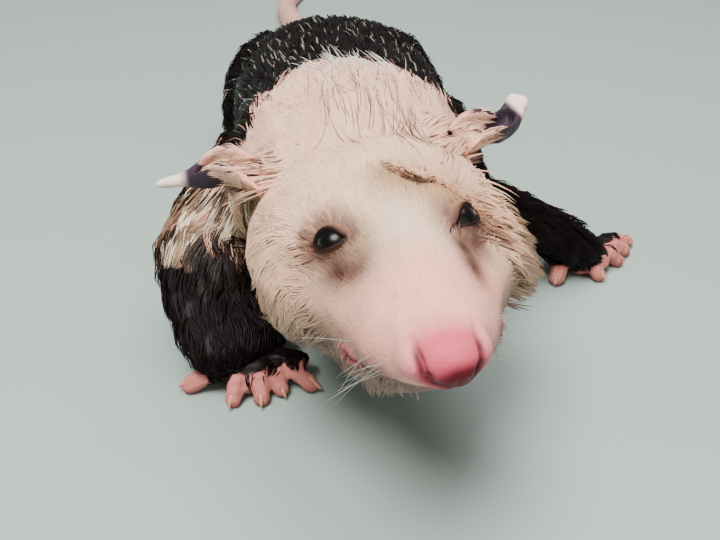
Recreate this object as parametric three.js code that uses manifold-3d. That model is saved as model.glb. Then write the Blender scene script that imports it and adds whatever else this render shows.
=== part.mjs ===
// A Virginia opossum, life size, with a wet coat. It crouches on its belly with both front paws braced
// wide, its head held low and turned to its right, and its folded ears out to the sides.
// Millimetres, +Z up, floor at z = 0. The animal faces -Y, and its left side is towards +X.
import * as THREE from "three";
import Module from "manifold-3d";

const wasm = await Module();
wasm.setup();

// Driving dimensions
const HEAD_AT = [-57, -48, 87]; // the point midway between the eyes
const HEAD_TURN = { yaw: -22.7, pitch: -20, roll: -5.3 }; // degrees: turned right, chin up, left up
const EYES_AT = { right: [-15.4, 3.6, -3], left: [18.8, 3.6, -3] }; // in the head's own frame
const EYE_RADIUS = 5.9;
const SEAM = 0.3; // gap between neighbouring pieces
const SIMPLIFY = 0.12; // how far a face may move when slivers are merged
const FLOOR_CUT = 0.6; // how far soles and tail sink before the floor plane flattens them
const DIGIT_RADIUS = 3.1;
const CLAW_LENGTH = 5;
const EAR_THICKNESS = 1.5;
const BACK_HEADING = -27; // degrees: the line of the back, from the line square to the front paws
const HIP_AT = [54, 176, 0]; // between the hips, on the floor

const deg = THREE.MathUtils.degToRad;

// Points [x, y, z] given in the head's own frame (x left, y back, z up) as world points.
const headFrame = new THREE.Matrix4().compose(
  new THREE.Vector3(...HEAD_AT),
  new THREE.Quaternion().setFromEuler(
    new THREE.Euler(deg(HEAD_TURN.pitch), deg(HEAD_TURN.roll), deg(HEAD_TURN.yaw), "ZXY"),
  ),
  new THREE.Vector3(1, 1, 1),
);
const hipFrame = new THREE.Matrix4().compose(
  new THREE.Vector3(...HIP_AT),
  new THREE.Quaternion().setFromAxisAngle(new THREE.Vector3(0, 0, 1), deg(BACK_HEADING)),
  new THREE.Vector3(1, 1, 1),
);
const worldFrame = new THREE.Matrix4();

// A smooth value at t in 0..1 through evenly spaced ones.
function smoothValue(values, t) {
  const last = values.length - 1;
  const at = t * last;
  const i = Math.min(Math.floor(at), last - 1);
  const f = at - i;
  const [a, b, c, d] = [-1, 0, 1, 2].map((k) => values[Math.min(last, Math.max(0, i + k))]);
  const rising = 0.5 * (c - a);
  const leaving = 0.5 * (d - b);
  const f2 = f * f;
  const f3 = f2 * f;
  const fromHere = (2 * f3 - 3 * f2 + 1) * b + (f3 - 2 * f2 + f) * rising;
  return fromHere + (3 * f2 - 2 * f3) * c + (f3 - f2) * leaving;
}

// A smooth curve through points [x, y, z, ...] given in a frame.
function curveThrough(points, frame) {
  return new THREE.CatmullRomCurve3(
    points.map(([x, y, z]) => new THREE.Vector3(x, y, z).applyMatrix4(frame)),
  );
}

// Positions and faces as a solid, turned the right way out.
function closedSolid(points, faces) {
  const vertProperties = new Float32Array(points.flatMap((p) => [p.x, p.y, p.z]));
  const build = (list) => {
    const triVerts = new Uint32Array(list.flat());
    return new wasm.Manifold(new wasm.Mesh({ numProp: 3, vertProperties, triVerts }));
  };
  const made = build(faces);
  return made.volume() > 0 ? made : build(faces.map(([a, b, c]) => [a, c, b]));
}

// A rounded body along stations [x, y, z, half width, rise, drop, peak]: rise and drop are its half
// heights above and below the line. full is above 2 for a boxier section, peak is the same for the
// upper half alone, and cap is the length of the rounded ends.
function loft(stations, options = {}) {
  const { sides = 16, steps = 10, full = 2, cap = 6, up = [0, 0, 1], grow = 0 } = options;
  const { frame = worldFrame } = options;
  const line = curveThrough(stations, frame);
  const upright = new THREE.Vector3(...up).transformDirection(frame);
  const sizes = [3, 4, 5].map((k) => stations.map((s) => s[k]));
  const peaks = stations.map((s) => s[6] ?? full);
  const rings = [];
  const capAngles = sides > 8 ? [60, 28] : [45];
  const ring = (t, scale, push) => {
    const centre = line.getPoint(t);
    const tangent = line.getTangent(t);
    const side = new THREE.Vector3().crossVectors(tangent, upright).normalize();
    const rise = new THREE.Vector3().crossVectors(side, tangent).normalize();
    centre.addScaledVector(tangent, push);
    const [w, a, b] = sizes.map((values) => (smoothValue(values, t) + grow) * scale);
    const peak = smoothValue(peaks, t);
    return Array.from({ length: sides }, (_, i) => {
      const turn = (2 * Math.PI * i) / sides;
      const bend = 2 / (i < sides / 2 ? peak : full);
      const [c, s] = [Math.cos(turn), Math.sin(turn)].map((v) => Math.sign(v) * Math.abs(v) ** bend);
      return centre
        .clone()
        .addScaledVector(side, c * w)
        .addScaledVector(rise, s * (s > 0 ? a : b));
    });
  };
  const reach = cap + grow;
  const capRing = (t, angle, way) => rings.push(ring(t, Math.cos(angle), way * reach * Math.sin(angle)));
  capAngles.forEach((angle) => capRing(0, deg(angle), -1));
  for (let k = 0; k <= steps; k++) rings.push(ring(k / steps, 1, 0));
  [...capAngles].reverse().forEach((angle) => capRing(1, deg(angle), 1));
  const points = rings.flat();
  const faces = [];
  for (let k = 0; k + 1 < rings.length; k++)
    for (let i = 0; i < sides; i++) {
      const a = k * sides + i;
      const b = k * sides + ((i + 1) % sides);
      faces.push([a, b, b + sides], [a, b + sides, a + sides]);
    }
  const start = points.push(line.getPoint(0).addScaledVector(line.getTangent(0), -reach)) - 1;
  const end = points.push(line.getPoint(1).addScaledVector(line.getTangent(1), reach)) - 1;
  const lastRing = (rings.length - 1) * sides;
  for (let i = 0; i < sides; i++) {
    const next = (i + 1) % sides;
    faces.push([start, next, i], [end, lastRing + i, lastRing + next]);
  }
  return closedSolid(points, faces);
}

// A thin curved sheet. surface(u, v) gives a point for u and v in 0..1.
function sheet(surface, across, along, thickness) {
  const STEP = 1e-3;
  const points = [];
  for (const side of [-0.5, 0.5])
    for (let i = 0; i <= along; i++)
      for (let j = 0; j <= across; j++) {
        const [u, v] = [i / along, j / across];
        const p = surface(u, v);
        const du = surface(u + STEP, v).sub(surface(u - STEP, v));
        const dv = surface(u, v + STEP).sub(surface(u, v - STEP));
        points.push(p.addScaledVector(du.cross(dv).normalize(), side * thickness));
      }
  const row = across + 1;
  const layer = row * (along + 1);
  const faces = [];
  const quad = (a, b, c, d) => faces.push([a, b, c], [a, c, d]);
  for (let i = 0; i < along; i++)
    for (let j = 0; j < across; j++) {
      const a = i * row + j;
      quad(a, a + row, a + row + 1, a + 1);
      quad(layer + a, layer + a + 1, layer + a + row + 1, layer + a + row);
    }
  const wall = (a, b) => quad(a, b, b + layer, a + layer);
  for (let j = 0; j < across; j++) {
    wall(j, j + 1);
    wall(along * row + j + 1, along * row + j);
  }
  for (let i = 0; i < along; i++) {
    wall((i + 1) * row, i * row);
    wall(i * row + across, (i + 1) * row + across);
  }
  return closedSolid(points, faces);
}

// Head: stations from the back of the skull to the snout, in the head's frame. It is narrow above
// between the eyes, and wide below at the cheeks.
const headBody = (grow) =>
  loft(
    [
      [0, 64, -4, 33, 23, 30, 2.1],
      [0, 50, -6, 39.5, 28, 35, 2.1],
      [0.4, 34, -9.5, 42.5, 30, 35, 1.9],
      [1.2, 19, -13, 40.5, 28.5, 31.5, 1.5],
      [1.7, 5, -15, 35, 24, 27, 1.2],
      [1.4, -9, -16.5, 28, 20, 22, 1.3],
      [0.8, -21, -18, 21.5, 17, 18, 1.6],
      [0.5, -32, -19, 16.5, 14, 14.5, 1.8],
      [0.5, -40, -20, 12, 10, 11, 2],
    ],
    { sides: 18, steps: 11, full: 2.15, cap: 5, frame: headFrame, grow },
  );

const jawBody = (grow) =>
  loft(
    [
      [0, 30, -38, 26, 10, 12],
      [0, 12, -39, 22, 9, 12],
      [0, -4, -38, 17.5, 7, 10],
      [0, -16, -35.5, 12.5, 5, 7],
      [0, -24, -33.5, 8.5, 3.5, 4.5],
    ],
    { sides: 11, steps: 4, cap: 4, frame: headFrame, grow },
  );

// The nose pad is a squat ball with a nostril dent low on each side.
function nosePad(grow) {
  const pad = loft(
    [
      [0.5, -39, -20.5, 8.8, 7, 7.6],
      [0.5, -44.5, -21, 9.5, 7, 7.2],
      [0.5, -49, -21.5, 8.2, 5.8, 5.8],
    ],
    { sides: 12, steps: 2, full: 2.3, cap: 3.4, frame: headFrame, grow },
  );
  if (grow > 0) return pad;
  return [-1, 1].reduce(
    (body, side) =>
      body.subtract(
        loft(
          [
            [side * 12, -47, -23.5, 1.8, 1.4, 1.4],
            [side * 6.6, -49, -24, 1.5, 1.3, 1.3],
          ],
          { sides: 6, steps: 1, cap: 1, frame: headFrame },
        ),
      ),
    pad,
  );
}

function eyeBall(side, grow) {
  const centre = new THREE.Vector3(...EYES_AT[side]).applyMatrix4(headFrame);
  const ball = new THREE.SphereGeometry(EYE_RADIUS + grow, 10, 6);
  ball.translate(centre.x, centre.y, centre.z);
  return solidOfGeometry(ball);
}

// A closed three.js geometry as a solid: its repeated vertices are found by place.
function solidOfGeometry(geometry) {
  const place = geometry.getAttribute("position");
  const seen = new Map();
  const points = [];
  const index = Array.from({ length: place.count }, (_, i) => {
    const p = new THREE.Vector3().fromBufferAttribute(place, i);
    const key = p.toArray().map((v) => v.toFixed(4)).join();
    if (!seen.has(key)) seen.set(key, points.push(p) - 1);
    return seen.get(key);
  });
  const corners = Array.from(geometry.index.array, (i) => index[i]);
  const faces = [];
  for (let i = 0; i < corners.length; i += 3) {
    const [a, b, c] = corners.slice(i, i + 3);
    if (a !== b && b !== c && a !== c) faces.push([a, b, c]);
  }
  return closedSolid(points, faces);
}

// An ear folded lengthwise into a gutter along its line, in the head's frame. halfWidths are measured
// round the fold, and opening is where the gutter opens.
function foldedEar(line, halfWidths, curl, opening) {
  const curve = curveThrough(line, headFrame);
  const open = new THREE.Vector3(...opening).transformDirection(headFrame);
  const surface = (u, v) => {
    const t = Math.min(1, Math.max(0, u));
    const half = smoothValue(halfWidths, t);
    const angle = smoothValue(curl, t) * (2 * v - 1);
    const radius = half / Math.max(0.2, smoothValue(curl, t));
    const along = curve.getTangent(t);
    const side = new THREE.Vector3().crossVectors(along, open).normalize();
    const out = new THREE.Vector3().crossVectors(side, along).normalize();
    return curve
      .getPoint(t)
      .addScaledVector(along, (u - t) * 10)
      .addScaledVector(side, radius * Math.sin(angle))
      .addScaledVector(out, radius * (1 - Math.cos(angle)));
  };
  return sheet(surface, 6, 7, EAR_THICKNESS);
}

const rightEar = foldedEar(
  [
    [-33, 48, 12],
    [-41, 51, 14],
    [-50, 53, 12.5],
    [-59, 55, 12.5],
    [-66, 58, 13.5],
  ],
  [12, 13, 11, 8, 5],
  [1.3, 1.9, 2.3, 2.4, 2],
  [0, -0.4, 1],
);
const leftEar = foldedEar(
  [
    [34, 47, 15],
    [43, 50, 12.5],
    [51, 55.5, 11.5],
    [58, 63, 15],
    [64, 69, 21],
  ],
  [11, 12, 10.5, 8.5, 6],
  [1.2, 1.7, 2.1, 2.2, 1.8],
  [0, -0.5, 1],
);

// One digit: from the palm, over the knuckle, down to the tip, with a claw past it.
function digitLine(from, tip) {
  const knuckle = from.map((v, i) => v + (tip[i] - v) * 0.45);
  knuckle[2] += 2.6;
  return [from, knuckle, tip];
}

const DIGIT_TAPER = [1.05, 1.02, 0.92];
const digitBody = (digit, frame, grow) => {
  const r = DIGIT_RADIUS * (digit.thick ?? 1);
  const stations = digitLine(digit.from, digit.tip).map((p, k) => {
    const here = r * DIGIT_TAPER[k];
    return [...p, here, here, here];
  });
  return loft(stations, { sides: 6, steps: 2, cap: r * 0.8, frame, grow });
};

function clawBody(digit, frame, grow) {
  const [, knuckle, tip] = digitLine(digit.from, digit.tip).map((p) => new THREE.Vector3(...p));
  const ahead = tip.clone().sub(knuckle).setZ(0).normalize();
  const at = (forward, rise) => {
    const point = tip.clone().addScaledVector(ahead, forward);
    return point.setZ(tip.z + rise).toArray();
  };
  return loft(
    [
      [...at(0.6, 1.5), 1.3, 1.2, 1.2],
      [...at(0.6 + CLAW_LENGTH * 0.45, 1.2), 1.05, 1.0, 1.0],
      [...at(0.6 + CLAW_LENGTH * 0.85, -0.9), 0.45, 0.45, 0.45],
    ],
    { sides: 4, steps: 2, cap: 0.5, frame, grow },
  );
}

// The paws: palm stations, then the digits from the thumb or big toe outwards.
const paws = {
  forepaw_right: {
    frame: worldFrame,
    palm: [
      [-80, 16, 12, 9, 7, 8],
      [-80.5, 8, 8.5, 12, 6.5, 8.8],
      [-80, 1, 6.6, 12, 5, 7],
    ],
    pad: [
      [-73, 3, 7.6, 5, 5, 5],
      [-66, -2.5, 7, 5, 5, 5],
    ],
    digits: [
      { from: [-72, -2, 6.6], tip: [-65.6, -11.8, 3.3] },
      { from: [-75.5, -1, 7], tip: [-76, -8, 3.2] },
      { from: [-79.5, 0, 7.6], tip: [-84, -8.2, 3.1] },
      { from: [-86, 3, 7.4], tip: [-92.8, -3.2, 3.1] },
      { from: [-88, 6, 7], tip: [-103.2, 12, 3.4], thick: 1.1 },
    ],
  },
  forepaw_left: {
    frame: worldFrame,
    palm: [
      [67, -2, 13, 8, 7, 8],
      [73, -6, 8.6, 10, 6.5, 8.8],
      [80, -9, 6.6, 9.5, 5, 7],
    ],
    pad: [
      [72, 0, 7.4, 5, 5, 5],
      [78, 3, 6.6, 4.6, 4.6, 4.6],
    ],
    digits: [
      { from: [64, -5, 7], tip: [56.6, -10.4, 3.4], thick: 1.15 },
      { from: [72.5, -10, 7], tip: [74.2, -18, 3.1], thick: 1.05 },
      { from: [82, -11, 6.8], tip: [89.6, -14.4, 3.2] },
      { from: [84, -8, 6.8], tip: [98.6, -10.2, 3.1], thick: 1.05 },
      { from: [83, -4, 6.8], tip: [105.4, -5.6, 3.2], thick: 1.05 },
    ],
  },
};
for (const [name, side] of [["hindfoot_right", -1], ["hindfoot_left", 1]])
  paws[name] = {
    frame: hipFrame,
    palm: [
      [side * 47, 30, 9, 8, 8, 9.6],
      [side * 49, 14, 7.4, 9, 7, 8],
      [side * 51, -2, 6.4, 10.5, 5.6, 7],
      [side * 52, -13, 6, 11, 4.6, 6.6],
    ],
    digits: [
      { from: [side * 43, -1, 6.4], tip: [side * 31, -7, 3.4], thick: 1.25, bare: true },
      { from: [side * 46, -15, 5.8], tip: [side * 43, -32, 3] },
      { from: [side * 50.5, -17, 6], tip: [side * 50, -37, 3] },
      { from: [side * 55.5, -16, 6], tip: [side * 58, -35, 3] },
      { from: [side * 59.5, -12, 5.8], tip: [side * 66, -28, 3] },
    ],
  };

const pawBody = ({ palm, pad, digits, frame }, grow) => {
  const parts = digits.map((digit) => digitBody(digit, frame, grow));
  if (pad) parts.push(loft(pad, { sides: 6, steps: 1, cap: 4, frame, grow }));
  const palmBody = loft(palm, { sides: 8, steps: 2, full: 2.2, cap: 6, frame, grow });
  return parts.reduce((body, part) => body.add(part), palmBody);
};

// Neck and trunk: the back sinks towards the hips, and the belly lies on the floor.
const neckBody = (grow) =>
  loft(
    [
      [-44, -12, 68, 35, 24, 24],
      [-32, 10, 62, 43, 35.5, 36],
      [-20, 32, 56, 48, 44, 44],
      [-8, 56, 52, 49, 43, 46],
    ],
    { sides: 16, steps: 4, full: 2.1, cap: 8, grow },
  );

const trunkBody = (grow) =>
  loft(
    [
      [-12, 46, 50, 45, 43, 45],
      [3, 76, 45.5, 48, 40.5, 45],
      [20, 109, 41, 53, 38.5, 41],
      [37, 142, 38, 55, 36.5, 38.2],
      [52, 171, 36, 52, 34, 36.2],
      [66, 198, 33, 43, 29.5, 32.6],
      [75, 216, 29, 30, 22.5, 26],
      [81, 228, 26, 20, 16, 18.5],
    ],
    { sides: 18, steps: 9, full: 2.2, cap: 9, grow },
  );

// Forelegs: the shoulder lies on the trunk, the elbow points back and out.
const forelegs = {
  right: {
    upper: [
      [-44, 62, 60, 16, 24, 24],
      [-60, 58, 50, 18, 21, 21],
      [-76, 53, 40, 16, 17, 17],
    ],
    fore: [
      [-80, 50, 37, 18, 17, 16],
      [-82, 38, 29, 20.5, 16, 15],
      [-83, 25, 21, 22, 13, 13],
      [-80.5, 12, 14.5, 21.5, 8.5, 10],
    ],
  },
  left: {
    upper: [
      [26, 46, 60, 16, 22, 22],
      [24, 33, 52, 16, 20, 20],
      [20, 20, 45, 15, 16, 16],
    ],
    fore: [
      [20, 14, 43, 14, 14, 14],
      [34, 8.5, 35, 15, 14, 14],
      [48, 4.5, 27, 15, 13.5, 13],
      [60, -1, 20, 14, 12, 12],
      [72, -6, 12.5, 12, 8.5, 9],
    ],
  },
};
const upperArm = (side) => (grow) =>
  loft(forelegs[side].upper, { sides: 10, steps: 3, cap: 12, up: [0, -1, 0.3], grow });
const foreArm = (side) => (grow) => loft(forelegs[side].fore, { sides: 10, steps: 4, cap: 10, grow });

// Hind legs, folded at the animal's sides, in the hips' frame
const thigh = (side) => (grow) =>
  loft(
    [
      [side * 33, 24, 34, 15, 24, 25],
      [side * 42, 3, 33, 16, 25, 25],
      [side * 50, -18, 29, 13, 19, 19],
      [side * 53, -32, 26, 10, 13, 13],
    ],
    { sides: 10, steps: 3, cap: 9, frame: hipFrame, grow },
  );
const shank = (side) => (grow) =>
  loft(
    [
      [side * 54, -28, 19, 9, 10, 10],
      [side * 52, -8, 16, 10, 10.5, 10],
      [side * 48, 15, 14.5, 9, 9.5, 9.5],
      [side * 46, 33, 14, 8, 9, 9],
    ],
    { sides: 8, steps: 3, cap: 6, frame: hipFrame, grow },
  );

// Tail: furred at the root, then bare, trailing behind on the floor. Lengths meet end to end.
const TAIL_LINE = curveThrough(
  [
    [0, 60, 24.5],
    [0, 78, 17.5],
    [-3, 108, 10.8],
    [-11, 152, 8.4],
    [-21, 194, 7.4],
    [-24, 236, 6.4],
    [-14, 276, 5.4],
    [9, 306, 4.3],
    [39, 320, 3.2],
  ],
  hipFrame,
);
const TAIL_RADII = [18, 15.5, 12, 9.6, 8.4, 7.3, 6.1, 4.9, 3.6];
const TAIL_LENGTHS = 4;
function tailLength(k) {
  const STATIONS = 5;
  return (grow) =>
    loft(
      Array.from({ length: STATIONS }, (_, i) => {
        const t = (k + i / (STATIONS - 1)) / TAIL_LENGTHS;
        const r = smoothValue(TAIL_RADII, t);
        return [...TAIL_LINE.getPoint(t).toArray(), r, r, r];
      }),
      { sides: 8, steps: 3, cap: k === TAIL_LENGTHS - 1 ? 4 : 2, grow },
    );
}

// Every piece in order: each one is cut clear of all those above it that it meets.
const SKIN = { white: "#d9c6b8", pink: "#d9a9a0", nose: "#d08088", dark: "#2a2321", grey: "#4a4442" };
const pieces = [];
const piece = (name, body, colour, roughness = 0.8) => pieces.push({ name, body, colour, roughness });

for (const side of ["right", "left"])
  piece(`eye_${side}`, (grow) => eyeBall(side, grow), "#0c0a09", 0.1);
piece("nose", nosePad, SKIN.nose, 0.35);
for (const [name, paw] of Object.entries(paws))
  paw.digits.forEach((digit, k) => {
    if (!digit.bare)
      piece(`claw_${name}_${k + 1}`, (grow) => clawBody(digit, paw.frame, grow), "#c9a27a", 0.4);
  });
piece("head", headBody, SKIN.white);
piece("jaw", jawBody, SKIN.white);
piece("ear_right", () => rightEar, SKIN.grey, 0.6);
piece("ear_left", () => leftEar, SKIN.grey, 0.6);
piece("neck", neckBody, SKIN.white);
piece("trunk", trunkBody, SKIN.dark);
for (const side of ["right", "left"]) {
  piece(`upper_arm_${side}`, upperArm(side), SKIN.dark);
  piece(`forearm_${side}`, foreArm(side), SKIN.dark);
  piece(`forepaw_${side}`, (grow) => pawBody(paws[`forepaw_${side}`], grow), SKIN.pink, 0.5);
}
for (const [side, sign] of [["right", -1], ["left", 1]]) {
  piece(`thigh_${side}`, thigh(sign), SKIN.dark);
  piece(`shank_${side}`, shank(sign), SKIN.dark);
  piece(`hindfoot_${side}`, (grow) => pawBody(paws[`hindfoot_${side}`], grow), SKIN.pink, 0.5);
}
for (let k = 0; k < TAIL_LENGTHS; k++)
  piece(`tail_${k + 1}`, tailLength(k), k ? SKIN.pink : SKIN.dark, 0.7);

// The floor plane cuts every sole, the belly and the tail to flats at one level.
const floorBlock = new THREE.BoxGeometry(1200, 1200, 40);
floorBlock.translate(0, 0, -20 + FLOOR_CUT);
const floor = solidOfGeometry(floorBlock);

const opossum = new THREE.Group();
const placed = [];
for (const { name, body, colour, roughness } of pieces) {
  let solid = body(0).subtract(floor);
  for (const earlier of placed) if (meets(solid, earlier.grown)) solid = solid.subtract(earlier.grown);
  const parts = solid.simplify(SIMPLIFY).decompose().sort((a, b) => b.volume() - a.volume());
  placed.push({ grown: body(SEAM) });
  const geometry = geometryOf(parts[0]);
  const material = new THREE.MeshStandardMaterial({ color: colour, roughness, metalness: 0 });
  const mesh = new THREE.Mesh(geometry, material);
  mesh.name = name;
  opossum.add(mesh);
}

function meets(a, b) {
  const [p, q] = [a.boundingBox(), b.boundingBox()];
  return [0, 1, 2].every((k) => p.min[k] < q.max[k] && q.min[k] < p.max[k]);
}

function geometryOf(solid) {
  const made = solid.getMesh();
  const place = new Float32Array(made.numVert * 3);
  for (let i = 0; i < made.numVert; i++)
    place.set(made.vertProperties.subarray(i * made.numProp, i * made.numProp + 3), i * 3);
  const geometry = new THREE.BufferGeometry()
    .setAttribute("position", new THREE.BufferAttribute(place, 3))
    .setIndex(new THREE.BufferAttribute(made.triVerts, 1));
  geometry.computeVertexNormals();
  return geometry;
}

// The back runs along Y, and the origin is below the middle of the whole animal, on the floor.
opossum.rotation.z = -deg(BACK_HEADING);
const extent = new THREE.Box3().setFromObject(opossum, true);
const middle = extent.getCenter(new THREE.Vector3());
opossum.position.set(-middle.x, -middle.y, -extent.min.z);

export default opossum;
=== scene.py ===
import itertools
import math

import bmesh
import bpy
import numpy as np
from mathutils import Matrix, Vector
from mathutils.bvhtree import BVHTree


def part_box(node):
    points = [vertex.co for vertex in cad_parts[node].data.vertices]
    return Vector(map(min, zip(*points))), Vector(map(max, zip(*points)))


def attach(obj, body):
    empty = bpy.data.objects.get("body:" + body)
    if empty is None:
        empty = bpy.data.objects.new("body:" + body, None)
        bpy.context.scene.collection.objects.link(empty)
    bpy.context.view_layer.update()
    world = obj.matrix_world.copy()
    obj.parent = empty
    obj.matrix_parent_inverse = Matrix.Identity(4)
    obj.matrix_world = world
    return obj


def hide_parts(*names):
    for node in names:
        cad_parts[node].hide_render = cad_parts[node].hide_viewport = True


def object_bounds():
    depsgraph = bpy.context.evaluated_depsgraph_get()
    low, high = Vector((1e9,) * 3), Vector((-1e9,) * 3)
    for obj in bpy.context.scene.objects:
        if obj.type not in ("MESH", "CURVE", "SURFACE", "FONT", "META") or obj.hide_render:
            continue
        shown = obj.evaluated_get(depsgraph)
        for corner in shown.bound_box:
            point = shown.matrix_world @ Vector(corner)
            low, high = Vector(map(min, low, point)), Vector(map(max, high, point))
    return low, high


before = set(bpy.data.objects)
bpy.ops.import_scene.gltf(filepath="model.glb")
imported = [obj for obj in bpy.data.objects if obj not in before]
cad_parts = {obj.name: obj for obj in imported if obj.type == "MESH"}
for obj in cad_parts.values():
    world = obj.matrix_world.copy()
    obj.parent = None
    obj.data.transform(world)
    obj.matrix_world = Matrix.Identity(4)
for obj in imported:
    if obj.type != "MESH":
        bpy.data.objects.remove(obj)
cad_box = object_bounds()

# Shapes are worked out in millimetres in the row's frame, and put in metres when a mesh is made
MM = 0.001
rng = np.random.default_rng(11)

SIDES = {"right": -1, "left": 1}  # the animal's own sides, with the sign that x has there
# Places on the head are in the head's own frame: x to its left, y back, z up
HEAD_PITCH, HEAD_ROLL, HEAD_YAW = -20.0, -5.3, 4.3
EYES_AT = {"right": np.array([-15.4, 3.6, -3.0]), "left": np.array([18.8, 3.6, -3.0])}
EYE_RADIUS = 5.9
NOSE_AT = np.array([0.5, -48.0, -21.0])
HIPS_BEHIND_HEAD = 250.0
CAMERA_FROM_HEAD = (-25.44, -180.77, 113.0)
CAMERA_DOWN, CAMERA_HEADING, CAMERA_LENS = 34.943, -5.2, 39.0


# Small helpers
def unit(v):
    return v / np.maximum(np.linalg.norm(v, axis=-1, keepdims=True), 1e-9)


def ease(x, low, high):
    t = np.clip((x - low) / (high - low), 0, 1)
    return t * t * (3 - 2 * t)


def blob(points, centre, size):
    """1 at the centre, falling off over size (one number or three)."""
    return np.exp(-(((points - np.array(centre)) / np.array(size)) ** 2).sum(-1))


def turned(axis, degrees):
    """A turn about x, y or z, which are 0, 1 and 2."""
    c, s = math.cos(math.radians(degrees)), math.sin(math.radians(degrees))
    j, k = (axis + 1) % 3, (axis + 2) % 3
    turn = np.eye(3)
    turn[j, j], turn[j, k] = c, -s
    turn[k, j], turn[k, k] = s, c
    return turn


def rgb(r, g, b):
    """A colour as seen on a screen, 0 to 255, in linear values."""
    c = np.array([r, g, b]) / 255
    return np.where(c <= 0.04045, c / 12.92, ((c + 0.055) / 1.055) ** 2.4)


def noise(points, cell, seed=0):
    """Smooth noise from -1 to 1 with features about one cell across."""
    q = points / cell
    i = np.floor(q).astype(np.int64)
    f = q - i
    f = f * f * (3 - 2 * f)
    total = np.zeros(len(points))
    for corner in itertools.product((0, 1), repeat=3):
        k = i + np.array(corner)
        h = (k[:, 0] * 73856093) ^ (k[:, 1] * 19349663) ^ (k[:, 2] * 83492791) ^ (seed * 2654435 + 97)
        h = (h ^ (h >> 13)) * 1274126177 & 0x7FFFFFFF
        h = (h ^ (h >> 16)) & 0xFFFF
        total += np.prod(np.where(corner, f, 1 - f), axis=1) * (h / 32767.5 - 1)
    return total


def blend(a, b, share):
    """From a to b, with one share for each point; a and b have a row for each point, or one for all."""
    return a + (b - a) * share[:, None]


def gap_to(points, centres):
    """Each point's distance from the nearest of some centres."""
    return np.min([np.linalg.norm(points - c, axis=1) for c in centres], axis=0)


def from_line(points, line):
    """Each point's distance and offset from a bent line, and how many of its stretches lie before it."""
    gap, offset, along = np.full(len(points), 99.0), np.zeros((len(points), 3)), np.zeros(len(points))
    for k, (a, b) in enumerate(zip(line[:-1], line[1:])):
        t = np.clip(((points - a) @ (b - a)) / ((b - a) @ (b - a)), 0, 1)
        off = points - a - t[:, None] * (b - a)
        away = np.linalg.norm(off, axis=1)
        closer = away < gap
        gap = np.where(closer, away, gap)
        offset = np.where(closer[:, None], off, offset)
        along = np.where(closer, k + t, along)
    return gap, offset, along


def painted(out, *layers):
    """Colours laid over one another; a layer is a colour and its share at each point."""
    for colour, share in layers:
        out = blend(out, colour, share)
    return out


def mesh_points(mesh):
    """A mesh's points, in millimetres."""
    co = np.empty(len(mesh.vertices) * 3)
    mesh.vertices.foreach_get("co", co)
    return co.reshape(-1, 3) / MM


def taken_from(work):
    """The points and faces of a bmesh, which is then freed."""
    work.verts.index_update()
    points = np.array([v.co[:] for v in work.verts])
    faces = np.array([[v.index for v in f.verts] for f in work.faces])
    work.free()
    return points, faces


def new_object(name, points, faces, material, tint=None):
    """An object from points in millimetres, their faces and their colours, which the material reads."""
    mesh = bpy.data.meshes.new(name)
    faces = np.asarray(faces)
    mesh.vertices.add(len(points))
    mesh.vertices.foreach_set("co", (np.asarray(points) * MM).astype(np.float32).ravel())
    mesh.loops.add(faces.size)
    mesh.loops.foreach_set("vertex_index", faces.astype(np.int32).ravel())
    mesh.polygons.add(len(faces))
    width = faces.shape[1]
    mesh.polygons.foreach_set("loop_start", np.arange(0, faces.size, width, dtype=np.int32))
    mesh.polygons.foreach_set("use_smooth", np.ones(len(faces), bool))
    mesh.update(calc_edges=True)
    mesh.materials.append(material)
    if tint is not None:
        colours = np.ones((len(points), 4), np.float32)
        colours[:, :3] = np.clip(tint, 0, 1)
        layer = mesh.attributes.new("tint", "FLOAT_COLOR", "POINT")
        layer.data.foreach_set("color", colours.ravel())
    made = bpy.data.objects.new(name, mesh)
    bpy.context.scene.collection.objects.link(made)
    return made


# Frames
def node_mesh(name):
    """A node's welded points, in millimetres, and its triangles."""
    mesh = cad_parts[name].data
    points = mesh_points(mesh)
    mesh.calc_loop_triangles()
    tris = np.empty(len(mesh.loop_triangles) * 3, np.int64)
    mesh.loop_triangles.foreach_get("vertices", tris)
    _, first, where = np.unique(np.round(points * 1000), axis=0, return_index=True, return_inverse=True)
    tris = where.reshape(-1)[tris.reshape(-1, 3)]
    whole = (tris[:, 0] != tris[:, 1]) & (tris[:, 1] != tris[:, 2]) & (tris[:, 0] != tris[:, 2])
    return points[first], tris[whole]


def point_normals(points, triangles):
    a, b, c = points[triangles].transpose(1, 0, 2)
    normal = np.cross(b - a, c - a)
    total = np.zeros_like(points)
    for k in range(3):
        for axis in range(3):
            total[:, axis] += np.bincount(triangles[:, k], normal[:, axis], len(points))
    return unit(total)


eye_centres = [node_mesh(f"eye_{side}")[0].mean(0) for side in SIDES]
HEAD_TURN = turned(2, HEAD_YAW) @ turned(0, HEAD_PITCH) @ turned(1, HEAD_ROLL)
HEAD_ORIGIN = sum(eye_centres) / 2 - HEAD_TURN @ (sum(EYES_AT.values()) / 2)


def to_head(points):
    return (points - HEAD_ORIGIN) @ HEAD_TURN


def from_head(points):
    return np.asarray(points, float) @ HEAD_TURN.T + HEAD_ORIGIN


# Skin: every node of flesh run together into one surface
LIMBS = ("upper_arm", "forearm", "forepaw", "thigh", "shank", "hindfoot")
REGIONS = ["head", "jaw", "nose", "ear", "neck", "trunk", *LIMBS, "tail_1", "tail_bare"]
FLESH = {"head": "head", "jaw": "jaw", "nose": "nose", "neck": "neck", "trunk": "trunk"}
for side in SIDES:
    FLESH[f"ear_{side}"] = "ear"
    for limb in LIMBS:
        FLESH[f"{limb}_{side}"] = limb
FLESH["tail_1"] = "tail_1"
for k in (2, 3, 4):
    FLESH[f"tail_{k}"] = "tail_bare"

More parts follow.
